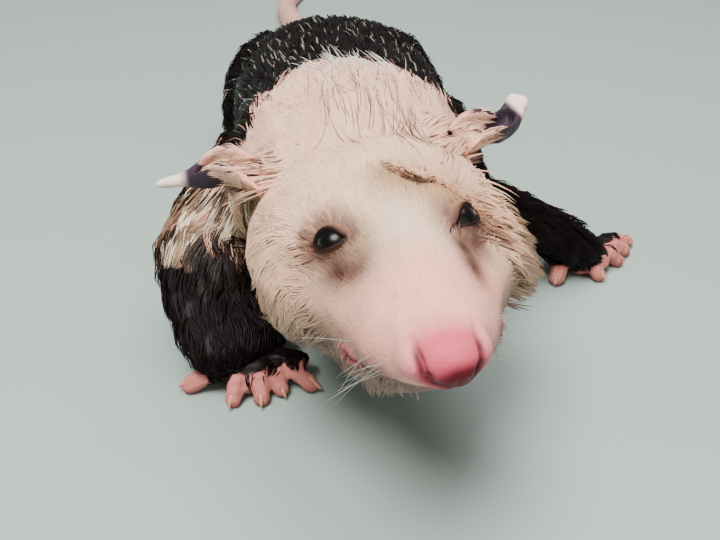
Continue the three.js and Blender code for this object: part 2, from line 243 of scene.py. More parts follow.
OVERLAP = 0.35  # how far each piece swells, so that neighbours run together
SOCKET_SWELL = 0.5
EAR_PAD_FROM = {"right": 52.0, "left": 56.0}  # from the head's middle plane
BODY_VOXEL, FINE_VOXEL = 2.0, 0.85  # the fine one is for ears and paws
FINE = ("ear", "forepaw", "hindfoot")

# Which way the hair lies on each piece, in the row's frame
LIE = {
    "head": HEAD_TURN @ (0, 1, 0.05),
    "jaw": HEAD_TURN @ (0, 1, -0.1),
    "nose": HEAD_TURN @ (0, 1, 0),
    "ear_right": HEAD_TURN @ (-1, 0.3, 0),
    "ear_left": HEAD_TURN @ (1, 0.5, 0),
    "neck": (0.0, 1, -0.15),
    "trunk": (0.0, 1, -0.2),
    "upper_arm_right": (-0.75, -0.25, -0.75),
    "forearm_right": (0.25, -0.75, -0.6),
    "forepaw_right": (0.1, -1, -0.3),
    "upper_arm_left": (0.1, -0.9, -0.5),
    "forearm_left": (0.85, -0.1, -0.5),
    "forepaw_left": (0.9, -0.3, -0.3),
    "hindfoot": (0, -1, -0.2),
    "tail_1": (0, 1, -0.25),
    "tail_bare": (0, 1, 0),
}
for side, sign in SIDES.items():
    LIE[f"thigh_{side}"] = (0.2 * sign, -0.6, -0.8)
    LIE[f"shank_{side}"] = (-0.1 * sign, 1, -0.3)


def joined_flesh():
    """The flesh nodes swollen a little, as one set of points and triangles, and each one's node."""
    all_points, all_faces, owner, start = [], [], [], 0
    for index, name in enumerate(FLESH):
        points, faces = node_mesh(name)
        all_points.append(points + point_normals(points, faces) * OVERLAP)
        all_faces.append(faces + start)
        owner.append(np.full(len(faces), index))
        start += len(points)
    return np.vstack(all_points), np.vstack(all_faces), np.concatenate(owner)


def remeshed(points, faces, voxel):
    """The points and four-cornered faces of a voxel remesh."""
    plain = bpy.data.materials.new("plain")
    source = new_object("flesh", points, faces, plain)
    tool = source.modifiers.new("remesh", "REMESH")
    tool.mode = "VOXEL"
    tool.voxel_size = voxel * MM
    depsgraph = bpy.context.evaluated_depsgraph_get()
    result = source.evaluated_get(depsgraph).to_mesh()
    points = mesh_points(result)
    quads = np.empty(len(result.loops), np.int64)
    result.loops.foreach_get("vertex_index", quads)
    source.evaluated_get(depsgraph).to_mesh_clear()
    bpy.data.objects.remove(source)
    bpy.data.materials.remove(plain)
    return points, quads.reshape(-1, 4)


class Net:
    """The edges of a mesh, for averaging over neighbours."""

    def __init__(self, faces, count):
        width = faces.shape[1]
        pairs = np.vstack([faces[:, [k, (k + 1) % width]] for k in range(width)])
        pairs = np.unique(np.sort(pairs, axis=1), axis=0)
        self.a, self.b, self.count = pairs[:, 0], pairs[:, 1], count
        self.degree = np.maximum(np.bincount(pairs.ravel(), minlength=count), 1)

    def mean(self, values):
        values = values.reshape(self.count, -1)
        out = np.empty_like(values)
        for k in range(values.shape[1]):
            column = values[:, k]
            out[:, k] = np.bincount(self.a, column[self.b], self.count)
            out[:, k] += np.bincount(self.b, column[self.a], self.count)
        return out / self.degree[:, None]

    def soften(self, values, rounds, share=0.5):
        """Values drawn towards their neighbours' mean; share may differ by point."""
        shape = values.shape
        values = values.reshape(self.count, -1).astype(float)
        share = np.broadcast_to(share, self.count)[:, None]
        for _ in range(rounds):
            values = values + share * (self.mean(values) - values)
        return values.reshape(shape)

    def smooth_shape(self, points, rounds, share):
        """Smoothing that keeps the volume: each step in is followed by a slightly larger one out."""
        share = np.broadcast_to(share, self.count)[:, None]
        for _ in range(rounds):
            points = points + 0.5 * share * (self.mean(points) - points)
            points = points - 0.53 * share * (self.mean(points) - points)
        return points


def nearest(tree, points):
    """For each point: the nearest place on the tree's surface, the normal there and its face."""
    place = np.empty((len(points), 3))
    normal = np.empty((len(points), 3))
    face = np.empty(len(points), np.int64)
    find = tree.find_nearest
    for k, p in enumerate(points.tolist()):
        place[k], normal[k], face[k], _ = find(p)
    return place, normal, face


def hull(points):
    """The convex hull of some points."""
    work = bmesh.new()
    for p in points.tolist():
        work.verts.new(p)
    made = bmesh.ops.convex_hull(work, input=list(work.verts))
    loose = [v for v in made["geom_interior"] + made["geom_unused"] if isinstance(v, bmesh.types.BMVert)]
    bmesh.ops.delete(work, geom=list(set(loose)), context="VERTS")
    return taken_from(work)


def with_piece(points, triangles, node):
    """The flesh with a closed piece more, counted to a node."""
    faces = np.vstack([flesh_faces, triangles + len(flesh_points)])
    owner = np.append(flesh_owner, np.full(len(triangles), list(FLESH).index(node)))
    return np.vstack([flesh_points, points]), faces, owner


flesh_points, flesh_faces, flesh_owner = joined_flesh()
# The sockets are filled, so that the lids can be shaped over the balls
for side in SIDES:
    points, triangles = node_mesh(f"eye_{side}")
    swollen = points + point_normals(points, triangles) * SOCKET_SWELL
    flesh_points, flesh_faces, flesh_owner = with_piece(swollen, triangles, "head")
# The rolled tip of each ear is closed to a pad
for side, reach in EAR_PAD_FROM.items():
    node = list(FLESH).index(f"ear_{side}")
    points = flesh_points[np.unique(flesh_faces[flesh_owner == node])]
    around, triangles = hull(points[np.abs(to_head(points)[:, 0]) > reach])
    flesh_points, flesh_faces, flesh_owner = with_piece(around, triangles, f"ear_{side}")
is_fine = np.array([FLESH[name] in FINE for name in FLESH])[flesh_owner]
skin_points, skin_quads = remeshed(flesh_points, flesh_faces[~is_fine], BODY_VOXEL)
fine_points, fine_quads = remeshed(flesh_points, flesh_faces[is_fine], FINE_VOXEL)
skin_quads = np.vstack([skin_quads, fine_quads + len(skin_points)])
skin_points = np.vstack([skin_points, fine_points])
flesh_tree = BVHTree.FromPolygons(flesh_points.tolist(), flesh_faces.tolist())


def refined(points, quads, tests):
    """The mesh as triangles, after each test in turn has cut in four the faces whose middles it picks."""
    mesh = bpy.data.meshes.new("refined")
    mesh.from_pydata(points.tolist(), [], quads.tolist())
    work = bmesh.new()
    work.from_mesh(mesh)
    for test in tests:
        faces = list(work.faces)
        middles = np.array([f.calc_center_median()[:] for f in faces])
        edges = {edge for k in np.flatnonzero(test(middles)) for edge in faces[k].edges}
        bmesh.ops.subdivide_edges(work, edges=list(edges), cuts=1, use_grid_fill=True)
    bmesh.ops.triangulate(work, faces=list(work.faces))
    bpy.data.meshes.remove(mesh)
    return taken_from(work)


# The crumpled fold across the brow, from the bridge to above the left eye
FOLD = np.array([
    (1.0, 19.6, 16.7), (3.8, 15.2, 15.0), (6.4, 12.0, 12.7), (10.3, 11.5, 10.3), (14.8, 12.1, 8.9),
    (18.9, 12.0, 6.1), (23.0, 11.9, 3.0), (28.8, 14.0, 0.1), (33.3, 15.7, -3.1),
])


def fold_side(h):
    """The signed distance from the brow's fold, positive on the crown's side, and its strength."""
    gap, offset, along = from_line(h, FOLD)
    strength = ease(along, 0, 1.6) * (1 - ease(along, 4.5, 8) * 0.7)
    return gap * np.where(offset[:, 1] + offset[:, 2] < 0, -1, 1), strength


def near_face(points):
    """The parts of the head that carry fine detail."""
    h = to_head(points)
    snout = (h[:, 1] < -33) & (np.abs(h[:, 0]) < 20) & (np.abs(h[:, 2] + 20) < 18)
    mouth = (h[:, 1] < -8) & (np.abs(h[:, 0]) < 26) & (np.abs(h[:, 2] + 28) < 4.5)
    return (gap_to(points, eye_centres) < 13) | snout | mouth | (np.abs(fold_side(h)[0]) < 8)


def near_detail(points):
    """The finest parts: round the eyes, the brow's fold and the nose."""
    h = to_head(points)
    nose = gap_to(h, [NOSE_AT]) < 12.5
    return (gap_to(points, eye_centres) < 9.5) | nose | (np.abs(fold_side(h)[0]) < 5)


# How firmly each region is smoothed, and how deep its coat is
FIRM = {"nose": 0.5, "ear": 0.5, "forepaw": 0.55, "hindfoot": 0.55, "tail_bare": 0.8}
DEPTH = {
    "head": 1.0, "jaw": 1.0, "neck": 2.6, "trunk": 4.0, "upper_arm": 3.4, "forearm": 3.2,
    "thigh": 3.2, "shank": 1.6, "tail_1": 2.2,
}

_, _, owner_face = nearest(flesh_tree, skin_points)
owners = flesh_owner[owner_face]
node_names = list(FLESH)
region_of_node = np.array([REGIONS.index(FLESH[n]) for n in node_names])
region = region_of_node[owners]
net = Net(skin_quads, len(skin_points))
firm = np.array([FIRM.get(r, 1.0) for r in REGIONS])[region]
firm = net.soften(firm, 4)
skin_points = net.smooth_shape(skin_points, 26, firm)
# The step where the head meets the neck is drawn smooth
nape = net.soften((region == REGIONS.index("neck")).astype(float), 14)
nape = 4 * nape * (1 - nape) * (to_head(skin_points)[:, 1] > 10)
skin_points = net.soften(skin_points, 60, 0.5 * np.clip(nape * 1.5, 0, 1))

# The inner end of each ear dives under the head's skin
EAR_SINK = 10.0
in_ear = region == REGIONS.index("ear")
h = to_head(skin_points)
sink = EAR_SINK * (1 - ease(np.abs(h[:, 0]), 30, 43)) * in_ear
h[:, 0] -= 0.5 * sink * np.sign(h[:, 0])
h[:, 2] -= 0.85 * sink
# The right ear's tip is slimmer than the left's pad
EAR_TIP_AXIS = np.array([52, 15.7])  # the y and z that it is drawn towards
slim = 0.45 * in_ear * ease(-h[:, 0], 51, 57)
h[:, 1:] += slim[:, None] * (EAR_TIP_AXIS - h[:, 1:])
skin_points = from_head(h)
skin_points = net.soften(skin_points, 26, 0.5 * in_ear * ease(np.abs(h[:, 0]), 47, 53))

skin_points, skin_faces = refined(skin_points, skin_quads, [near_face, near_detail])
_, _, owner_face = nearest(flesh_tree, skin_points)
owners = flesh_owner[owner_face]
region = region_of_node[owners]
net = Net(skin_faces, len(skin_points))
weights = net.soften(np.eye(len(REGIONS))[region], 5)
lie_by_node = np.array([LIE.get(n, LIE.get(FLESH[n])) for n in node_names], float)
lie = unit(lie_by_node)[owners]
# On the cheeks the hair hangs
x, y, z = to_head(skin_points).T
cheek = ease(np.abs(x), 20, 34) * ease(-z, -8, 8) * ease(y, -12, 4)
cheek *= np.isin(region, [REGIONS.index("head"), REGIONS.index("jaw")])
down = np.stack([0.5 * np.sign(x), np.full(len(x), 0.15), np.full(len(x), -0.85)], -1) @ HEAD_TURN.T
lie = net.soften(blend(lie, down, cheek), 25)


def weight(name, table=None):
    """A region's share at each point of the skin, or at the places of another table."""
    return (weights if table is None else table)[:, REGIONS.index(name)]


# The coat's depth comes off the skin
normal = point_normals(skin_points, skin_faces)
head_at = to_head(skin_points)
depth = sum(d * weight(r) for r, d in DEPTH.items())
depth *= 1 - 0.75 * ease(-head_at[:, 1], 12, 34) * (weight("head") + weight("jaw"))
paw_middles = [np.array(sum(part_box(f"forepaw_{side}"), Vector())) / 2 / MM for side in SIDES]
depth *= 0.25 + 0.75 * ease(gap_to(skin_points, paw_middles), 16, 34)
depth *= ease(gap_to(skin_points, eye_centres), 6.5, 14)
depth = net.soften(depth, 12)
skin_points = skin_points - normal * depth[:, None]


# Sculpting of the head
LID_LONG, LID_HIGH = 0.82, 0.43  # half the opening, in eye radii
EYE_OUT = {"right": (-0.60, -0.60, 0.53), "left": (0.60, -0.62, 0.50)}
EYE_FORWARD = {"right": (0.76, -0.60, 0.10), "left": (-0.62, -0.74, -0.12)}


def eye_frame(side):
    """Three directions at an eye: out of the socket, forward along the lids, and up."""
    out = unit(np.array(EYE_OUT[side]))
    forward = np.array(EYE_FORWARD[side])
    forward = unit(forward - out * (forward @ out))
    up = np.cross(forward, out)
    return out, forward, up if up[2] > 0 else -up


def lid_measure(head_points, side):
    """1 on the lids' rim and less inside; the distance from the eye's centre, and the way out from it."""
    offset = head_points - EYES_AT[side]
    away = np.linalg.norm(offset, axis=1)
    ray = offset / np.maximum(away, 1e-6)[:, None]
    out, forward, up = eye_frame(side)
    x, y, front = ray @ forward, ray @ up, ray @ out
    # The rim is two arcs that meet in corners, and the lower one is a little flatter
    height = np.where(y > 0, LID_HIGH, LID_HIGH * 0.92)
    measure = (x / LID_LONG) ** 2 + np.abs(y) / height
    return np.where(front > 0, measure, 9.0), away, ray


def lid_share(head_points, side, low, high):
    """1 over the eye, and falling to 0 between two of the lids' measures."""
    measure, away, _ = lid_measure(head_points, side)
    return (1 - ease(measure, low, high)) * (away < EYE_RADIUS + 4)


# The line between the lips, from one corner to the middle, and the corner itself
MOUTH = np.array([
    (19.8, -14, -26.0), (18.2, -21, -26.9), (14.5, -30, -28.2), (7.5, -39, -29.2), (0, -43, -29.5),
])
MOUTH_MIDDLE = 0.6
CORNER_AT, CORNER_SIZE = (19.0, -19, -26.4), (4.5, 5.5, 2.6)
NOSTRIL_CURL = (  # depth, place beside the nose's middle, size
    (0.9, (7.4, -46, -17.6), (1.1, 6, 2.4)),
    (3.0, (7.0, -47, -20.2), (1.0, 6, 2.4)),
    (3.0, (6.0, -49, -23.0), (1.3, 6, 1.5)),
    (0.9, (4.4, -50, -24.8), (1.8, 5, 1.1)),
)


def beside_nose(place, sign):
    """A place on one side of the nose's middle plane."""
    return np.array(place) * (sign, 1, 1) + (NOSE_AT[0], 0, 0)


def mouth_gap(h):
    """The distance from the line between the lips, and the share that each point has in a corner."""
    mirrored = np.stack([np.abs(h[:, 0] - MOUTH_MIDDLE), h[:, 1], h[:, 2]], -1)
    return from_line(mirrored, MOUTH)[0], blob(mirrored, CORNER_AT, CORNER_SIZE)


def raised(h, *bumps):
    """How far some bumps raise each place; a bump is its height, its middle and its size."""
    return sum(height * blob(h, centre, size) for height, centre, size in bumps)


def one_side_relief(h, sign, eye):
    """How far the skin rises on one side of the face."""
    rise = raised(
        h,
        (1.5, eye + (sign * 0.5, 4.5, 9.5), (8, 9, 4.0)),  # brow
        (-1.6, eye + (-sign * 1.5, -12, -2.5), (5.5, 9, 5)),  # hollow before the eye
        (1.5, eye + (sign * 10, 8, -17), (9, 14, 9)),  # cheek
        (1.5, (0.8 + sign * 12.5, -31, -24), (6, 9, 6)),  # whisker pad
        (1.7, beside_nose((9.0, -45.5, -21), sign), (2.6, 5, 4.6)),  # wing of the nostril
    )
    for depth, centre, size in NOSTRIL_CURL:
        rise -= depth * blob(h, beside_nose(centre, sign), size)
    return rise


def relief(h):
    """How far the skin of the face rises at each place."""
    rise = sum(one_side_relief(h, sign, EYES_AT[side]) for side, sign in SIDES.items())
    rise += raised(
        h,
        (-0.8, (1.7, 26, 16), (3.2, 16, 9)),  # furrow up the forehead
        (-1.0, (1.4, -6, 3), (7, 9, 5)),  # dip between muzzle and brow
        (1.9, (0.5, -50, -21), (6.0, 8, 5.5)),  # ball of the nose
        (-0.45, (0.5, -53, -26), (0.8, 5, 3)),  # groove down its middle
    )
    # The fold over the bridge, and its ridge running on above the left eye
    side_of_fold, fold = fold_side(h)
    ridge, groove = np.exp(-((side_of_fold / 4.5) ** 2)), np.exp(-((side_of_fold / 2.6) ** 2))
    rise += fold * np.where(side_of_fold > 0, 1.6 * ridge, -1.1 * groove)
    gap, corner = mouth_gap(h)
    lips = (h[:, 1] < -6) & (np.abs(h[:, 2] + 28) < 8)
    rise += np.where(lips, 0.5 * np.exp(-((gap / 3.2) ** 2)) - 1.9 * np.exp(-((gap / 0.9) ** 2)), 0)
    rise += 1.6 * corner
    jaws = [blob(h, (MOUTH_MIDDLE + sign * 18, -17, -32), (7, 9, 4.5)) for sign in SIDES.values()]
    return rise + 3.2 * np.maximum(*jaws)


def lidded(h, side):
    """The skin round an eye: over the ball outside the lids' rim, and behind the ball's face inside it."""
    measure, away, ray = lid_measure(h, side)
    over = ease(measure, 1.0, 2.0)
    lid = EYE_RADIUS + 0.75 + 0.35 * ease(measure, 1.0, 1.25) * (1 - ease(measure, 1.25, 1.7))
    kept = np.maximum(away, EYE_RADIUS + 0.55)
    outside = blend(ray * lid[:, None], ray * kept[:, None], over)
    inside = ray * (EYE_RADIUS - 1.6)
    offset = blend(inside, outside, ease(measure, 0.74, 1.02))
    near = away < EYE_RADIUS + 9
    return np.where(near[:, None], EYES_AT[side] + offset, h)


def sculpt_head(points):
    """The head with its bridge and nose smoothed, its relief raised and its lids shaped."""
    h = to_head(points)
    # The bridge runs into the nose without a step
    seam = (1 - ease(np.abs(h[:, 1] + 39.5), 4, 8)) * ease(h[:, 2], -25, -20) * (np.abs(h[:, 0]) < 22)
    points = net.soften(points, 70, 0.5 * seam)
    points = net.soften(points, 60, 0.5 * ease(-h[:, 1], 42, 46))
    h = to_head(points)
    head = weight("head") + weight("jaw") + 0.6 * weight("neck")
    loose_skin = 0.4 * noise(points, 9, 1) * head + 0.2 * noise(points, 4, 2) * head
    rise = (relief(h) + loose_skin) * np.clip(head + weight("nose"), 0, 1)
    h = to_head(points + point_normals(points, skin_faces) * rise[:, None])
    for side in SIDES:
        h = lidded(h, side)
    return from_head(h)


skin_points = sculpt_head(skin_points)
# Fine wrinkles on ears and paws, and soft unevenness on the body
normal = point_normals(skin_points, skin_faces)
bare = weight("forepaw") + weight("hindfoot") + weight("ear")
wrinkle = 0.22 * noise(skin_points, 2.4, 3) * bare
WRINKLE_SPACING = 3.1
knuckle = np.sin((skin_points * unit(lie_by_node)[owners]).sum(1) * (2 * math.pi / WRINKLE_SPACING))
wrinkle += 0.12 * knuckle * (weight("forepaw") + weight("hindfoot"))
body = weight("trunk") + weight("neck") + weight("upper_arm") + weight("thigh")
wrinkle += 0.6 * noise(skin_points, 13, 4) * body
skin_points = skin_points + normal * wrinkle[:, None]
skin_points[:, 2] = np.maximum(skin_points[:, 2], 0.0)
normal = point_normals(skin_points, skin_faces)
head_at = to_head(skin_points)


# Markings, with painted shade and painted highlights among them: one colour for every place, shared by skin
# and coat
# The bridge's colour is a painted highlight, and the cheeks' and jaw's colours are painted shade
CREAM, CROWN, BRIDGE_HIGHLIGHT = rgb(252, 195, 164), rgb(250, 189, 165), rgb(255, 213, 184)
MUZZLE, CHEEK_SHADE, JAW_SHADE = rgb(244, 172, 154), rgb(206, 160, 134), rgb(118, 94, 88)
# Tan and dark tan also serve as painted shade under the brow's fold and in its crease
BROWN, TAN, DARK_TAN = rgb(58, 24, 21), rgb(176, 132, 96), rgb(88, 60, 44)
BLACK_COAT, GREY_COAT, SILVER = rgb(14, 6, 6), rgb(15, 13, 12), rgb(176, 170, 164)
# Deep pink also serves as painted shade low on the digits
BARE_PINK, DEEP_PINK, BELLY = rgb(186, 116, 107), rgb(128, 52, 58), rgb(120, 112, 104)
# The nose's low colour is painted shade on its underside, and the nostrils' colour is painted shade in them
NOSE_TOP, NOSE_UNDER_SHADE = rgb(208, 88, 106), rgb(92, 14, 28)
NOSE_WING, NOSTRIL_SHADE = rgb(226, 152, 156), rgb(70, 20, 32)
# The ears' under colour is a painted shadow below the right ear
EAR_GREY, EAR_TIP, EAR_UNDER_SHADOW = rgb(54, 42, 54), rgb(244, 214, 210), rgb(22, 14, 20)
TAIL_PALE, TAIL_DARK = rgb(202, 158, 144), rgb(36, 30, 30)
# The lips' line colour is painted shade in their parting and in the mouth's corner
LIP, LIP_PARTING_SHADE, EYE_RIM = rgb(200, 104, 106), rgb(66, 20, 24), rgb(13, 7, 7)


def pale_share(points, h, table, sway=0.0):
    """1 where the coat is cream, 0 where it is black-brown; sway moves the boundary, in mm."""
    ragged = 5 * noise(points, 11, 5) + 3 * noise(points, 4, 6) + sway
    edge = 104 - 0.6 * np.maximum(0, np.abs(h[:, 0] - 1) - 8) + ragged
    neck = 1 - ease(h[:, 1], edge - 3, edge + 3)
    throat = ease(points[:, 2], 16, 30)
    shoulder = blob(h, (-45, 82, -3), (14, 22, 15))
    shoulder = ease(shoulder + 0.12 * noise(points, 5, 7) + 0.025 * sway, 0.38, 0.6) * (shoulder > 0.22)
    share = weight("head", table) + weight("jaw", table)
    share += weight("neck", table) * np.maximum(neck * throat, shoulder)
    share += (weight("upper_arm", table) + weight("forearm", table)) * shoulder
    share += weight("nose", table) + weight("ear", table)
    share += weight("trunk", table) * neck * throat
    return np.clip(share, 0, 1)


claw_names = [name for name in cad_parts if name.startswith("claw_")]
claw_middles = [node_mesh(name)[0].mean(0) for name in claw_names]


def digit_share(points, table):
    """1 on the bare fingers and toes, 0 on the furred backs of the feet."""
    furred = ease(gap_to(points, claw_middles), 9.0, 12.0) * ease(points[:, 2], 1.5, 4.0)
    return np.clip(weight("forepaw", table) + weight("hindfoot", table), 0, 1) * (1 - furred)


STAINS = (  # below each eye and on towards the muzzle: place, size, share
    ((-17.5, -9, -7.5), (6.4, 8.5, 6.2), 1.0),
    ((-14.0, -14, -5.5), (5.5, 7.0, 5.5), 0.85),
    ((16.8, -14, -5.5), (4.0, 11, 6.2), 1.0),
    ((21.3, -8.5, -6.5), (4.4, 8, 6.2), 1.0),
    ((15.0, -25, -8), (3.0, 9, 5), 0.95),
)
# Painted shade in the nostrils, along the grooves that curl round them
NOSTRIL_SHADE_MARKS = (  # place beside the nose's middle, size
    ((7.2, -47, -19.2), (0.9, 6, 2.0)),
    ((6.8, -48, -21.4), (1.0, 6, 2.0)),
    ((5.8, -49, -23.6), (1.4, 6, 1.3)),
    ((4.4, -50, -24.8), (1.8, 5, 0.9)),
)


def face_colour(points, h):
    """Cream fur, pinker on the muzzle, with painted shade under the cheeks and jaw, less on the left side,
    and a painted highlight on the top of the bridge.
    """
    x, y, z = h.T
    shaded = ease(y, -34, -12) * (1 - 0.6 * ease(x, 8, 24))
    return painted(
        CREAM,
        (CROWN, ease(y, 15, 70)),
        # Painted shade: the lower cheeks and the underside of the face darker, less on the left side
        (CHEEK_SHADE, 0.9 * ease(-z, -6, 15) * shaded * ease(np.abs(x), 16, 26)),
        (CHEEK_SHADE, 0.8 * ease(-z, 8, 22) * shaded),
        # Painted highlight on the top of the bridge
        (BRIDGE_HIGHLIGHT, ease(z, -18, -8) * (1 - ease(y, -2, 12)) * (1 - ease(np.abs(x - 1), 8, 16))),
        (MUZZLE, 0.95 * ease(-y, 8, 30)),
        # Painted shade under the jaw
        (JAW_SHADE, 0.85 * ease(-z, 17, 29) * (1 - ease(-y, 34, 43))),
        (TAN, 0.3 * ease(noise(points, 14, 8), 0.1, 0.8) * ease(y, 0, 20)),
        (TAN, 0.3 * ease(noise(points * (1, 0.45, 1), 6, 18), 0.0, 0.8) * ease(y, 22, 50)),
    )


def eye_marks(out, h):
    """Tan and brown round the eyes, the stains below them, tan painted as shade under the brow's fold, and
    darker painted shade in its crease.
    """
    for side, sign in SIDES.items():
        eye = EYES_AT[side]
        out = painted(
            out,
            (TAN, 0.75 * blob(h, eye + (-sign * 7.5, -4, 2), (4.5, 13, 6))),
            (TAN, 0.45 * blob(h, eye + (sign * 11, 4, -2), (7, 8, 4))),
            (BROWN, 0.8 * blob(h, eye + (sign * 1.5, -3, 0), (8.5, 8, 6))),
        )
    out = blend(out, TAN, 0.45 * blob(h, (6, 4, 8), (9, 8, 6)))
    out = blend(out, TAN, 0.4 * blob(h, (-8.5, -9, -2), (4, 12, 5)))
    for side in SIDES:
        measure, away, _ = lid_measure(h, side)
        near = 1 - ease(away, EYE_RADIUS + 2, EYE_RADIUS + 6)
        out = blend(out, BROWN, 0.85 * (1 - ease(measure, 1.2, 3.4)) * near)
    for centre, size, share in STAINS:
        out = blend(out, BROWN, share * blob(h, centre, size))
    side_of_fold, fold = fold_side(h)
    groove = fold * np.exp(-(((side_of_fold + 0.8) / 1.3) ** 2))
    return painted(
        out,
        (DEEP_PINK, 0.3 * blob(h, (18.9, -12.5, -6.2), (1.6, 6, 3))),
        # Painted shade: tan below the overhang of the brow's fold, and dark tan in its crease
        (TAN, 0.95 * fold * np.exp(-(((side_of_fold + 4.5) / 6.5) ** 2))),
        (DARK_TAN, 0.95 * groove * blob(h, (9, 12, 11), (9, 9, 9))),
    )


def shoulder_marks(out, points, h):
    """Tan and brown patches where the cream coat ends on the right shoulder."""
    shoulder = ease(-h[:, 0], 34, 46) * ease(h[:, 1], 52, 66)
    out = blend(out, TAN, 0.55 * shoulder * ease(noise(points, 6, 9), -0.4, 0.5))
    return blend(out, DARK_TAN, 0.7 * shoulder * ease(noise(points * (1, 0.5, 1), 3.6, 10), 0.1, 0.6))


def dark_colour(points, table):
    """Black-brown fur, greyer on the back and belly."""
    dark = blend(BLACK_COAT, GREY_COAT, 0.75 * weight("trunk", table))
    return blend(dark, BELLY, 0.6 * weight("trunk", table) * (1 - ease(points[:, 2], 6, 22)))


def lip_marks(out, h):
    gap, corner = mouth_gap(h)
    return painted(
        out,
        (BROWN, 0.3 * blob(h, (-17.5, -17, -23.5), (4, 6, 2.2))),
        (LIP, 0.9 * ease(corner, 0.2, 0.5)),
        # Painted shade along the parting of the lips and deep in the mouth's corner
        (LIP_PARTING_SHADE, 0.8 * np.exp(-((gap / 0.9) ** 2)) * (h[:, 1] < -6)),
        (LIP_PARTING_SHADE, 0.95 * ease(corner, 0.5, 0.8)),
    )


def nose_marks(out, h):
    """The bare nose: pink, with pale wings, painted shade in dark red on its underside and painted shade in
    the nostrils.
    """
    x, y, z = h.T
    wings = [blob(h, beside_nose((9.2, -45, -21), sign), (2.4, 4, 5)) for sign in SIDES.values()]
    nose = painted(
        out,
        (NOSE_TOP, ease(-y, 39, 50) * ease(z, -40, -22)),
        (NOSE_WING, 0.85 * np.maximum(*wings)),
        # Painted shade on the nose's underside
        (NOSE_UNDER_SHADE, 0.97 * ease(blob(h, (2.2, -52, -24.4), (7.0, 9, 4.5)), 0.15, 0.75)),
    )
    # Painted shade in the nostrils
    for sign in SIDES.values():
        for centre, size in NOSTRIL_SHADE_MARKS:
            nose = blend(nose, NOSTRIL_SHADE, 0.95 * blob(h, beside_nose(centre, sign), size))
    return blend(out, nose, ease(-y, 34, 38) * (np.abs(x) < 20))


def ear_marks(out, h, table):
    """Bare ears with a grey band and a pale tip; the right one has a painted shadow underneath."""
    x, y, z = h.T
    reach = np.abs(x)
    ear = painted(
        MUZZLE,
        (EAR_GREY, ease(reach, 38, 43)),
        # Painted shadow along the right ear's underside
        (EAR_UNDER_SHADOW, 0.85 * ease(12.5 - z, 0, 3.5) * ease(-x, 36, 41)),
        (EAR_TIP, np.where(x < 0, ease(reach, 55, 59), ease(reach + 0.4 * (z - 12), 60, 63))),
    )
    return blend(out, ear, ease(weight("ear", table), 0.3, 0.7))


def paw_and_tail_marks(out, points, table):
    # The digits deeper pink towards the floor: painted shade low on them
    digits = blend(BARE_PINK, DEEP_PINK, 0.55 * ease(-points[:, 2], -4.5, -1))
    out = blend(out, digits, ease(digit_share(points, table), 0.3, 0.7))
    along = points[:, 1] - HEAD_ORIGIN[1] - HIPS_BEHIND_HEAD
    tail = blend(TAIL_DARK, TAIL_PALE, ease(along + 8 * noise(points, 9, 12), 118, 165))
    return blend(out, tail, ease(weight("tail_bare", table), 0.35, 0.65))


def markings(points, table, bare=True, sway=0.0):
    """The colour at each place, with or without its bare skin."""
    h = to_head(points)
    pale = shoulder_marks(eye_marks(face_colour(points, h), h), points, h)
    out = lip_marks(blend(dark_colour(points, table), pale, pale_share(points, h, table, sway)), h)
    if not bare:
        return out * (1 + 0.05 * noise(points, 7, 13))[:, None]
    out = paw_and_tail_marks(ear_marks(nose_marks(out, h), h, table), points, table)
    return out * (1 + 0.06 * noise(points, 7, 13) + 0.05 * noise(points, 2.2, 14))[:, None]


# Materials
def set_inputs(node, **values):
    """The node with some of its inputs set; their names have _ for a space."""
    for key, value in values.items():
        node.inputs[key.replace("_", " ")].default_value = value
    return node


def textured(name, grain, bump, spread=0.12, **values):
    """A material that takes its colour from the mesh's tint, broken up by grain, with a fine bump."""
    material = bpy.data.materials.new(name)
    material.use_nodes = True
    nodes, links = material.node_tree.nodes, material.node_tree.links
    shader = set_inputs(nodes["Principled BSDF"], **values)
    tint = nodes.new("ShaderNodeAttribute")
    tint.attribute_name = "tint"
    place = nodes.new("ShaderNodeTexCoord")
    speck = set_inputs(nodes.new("ShaderNodeTexNoise"), Scale=grain, Detail=4)
    links.new(place.outputs["Object"], speck.inputs["Vector"])
    level = set_inputs(nodes.new("ShaderNodeMapRange"), To_Min=1 - spread, To_Max=1 + spread)
    links.new(speck.outputs["Fac"], level.inputs["Value"])
    mix = nodes.new("ShaderNodeVectorMath")
    mix.operation = "MULTIPLY"
    links.new(tint.outputs["Color"], mix.inputs[0])
    links.new(level.outputs["Result"], mix.inputs[1])
    links.new(mix.outputs["Vector"], shader.inputs["Base Color"])
    grooves = set_inputs(nodes.new("ShaderNodeBump"), Strength=bump, Distance=BUMP_DEPTH)
    links.new(speck.outputs["Fac"], grooves.inputs["Height"])
    links.new(grooves.outputs["Normal"], shader.inputs["Normal"])
    return material


BUMP_DEPTH = 0.0004  # in metres
skin_material = textured("skin", 900, 0.35, Roughness=0.5, Specular_IOR_Level=0.13,
                         Subsurface_Weight=0.15, Subsurface_Scale=0.002)
pale_fur = textured("pale_fur", 1600, 0.15, Roughness=0.6, Specular_IOR_Level=0.3,
                    Subsurface_Weight=0.25, Subsurface_Scale=0.0012)
dark_fur = textured("dark_fur", 1600, 0.15, Roughness=0.45, Specular_IOR_Level=0.1)
eye_material = textured("eye", 700, 0.0, Roughness=0.25, Specular_IOR_Level=0.22)
claw_material = textured("claw", 1400, 0.2, Roughness=0.3, Subsurface_Weight=0.2, Subsurface_Scale=0.001)

tint = markings(skin_points, weights)
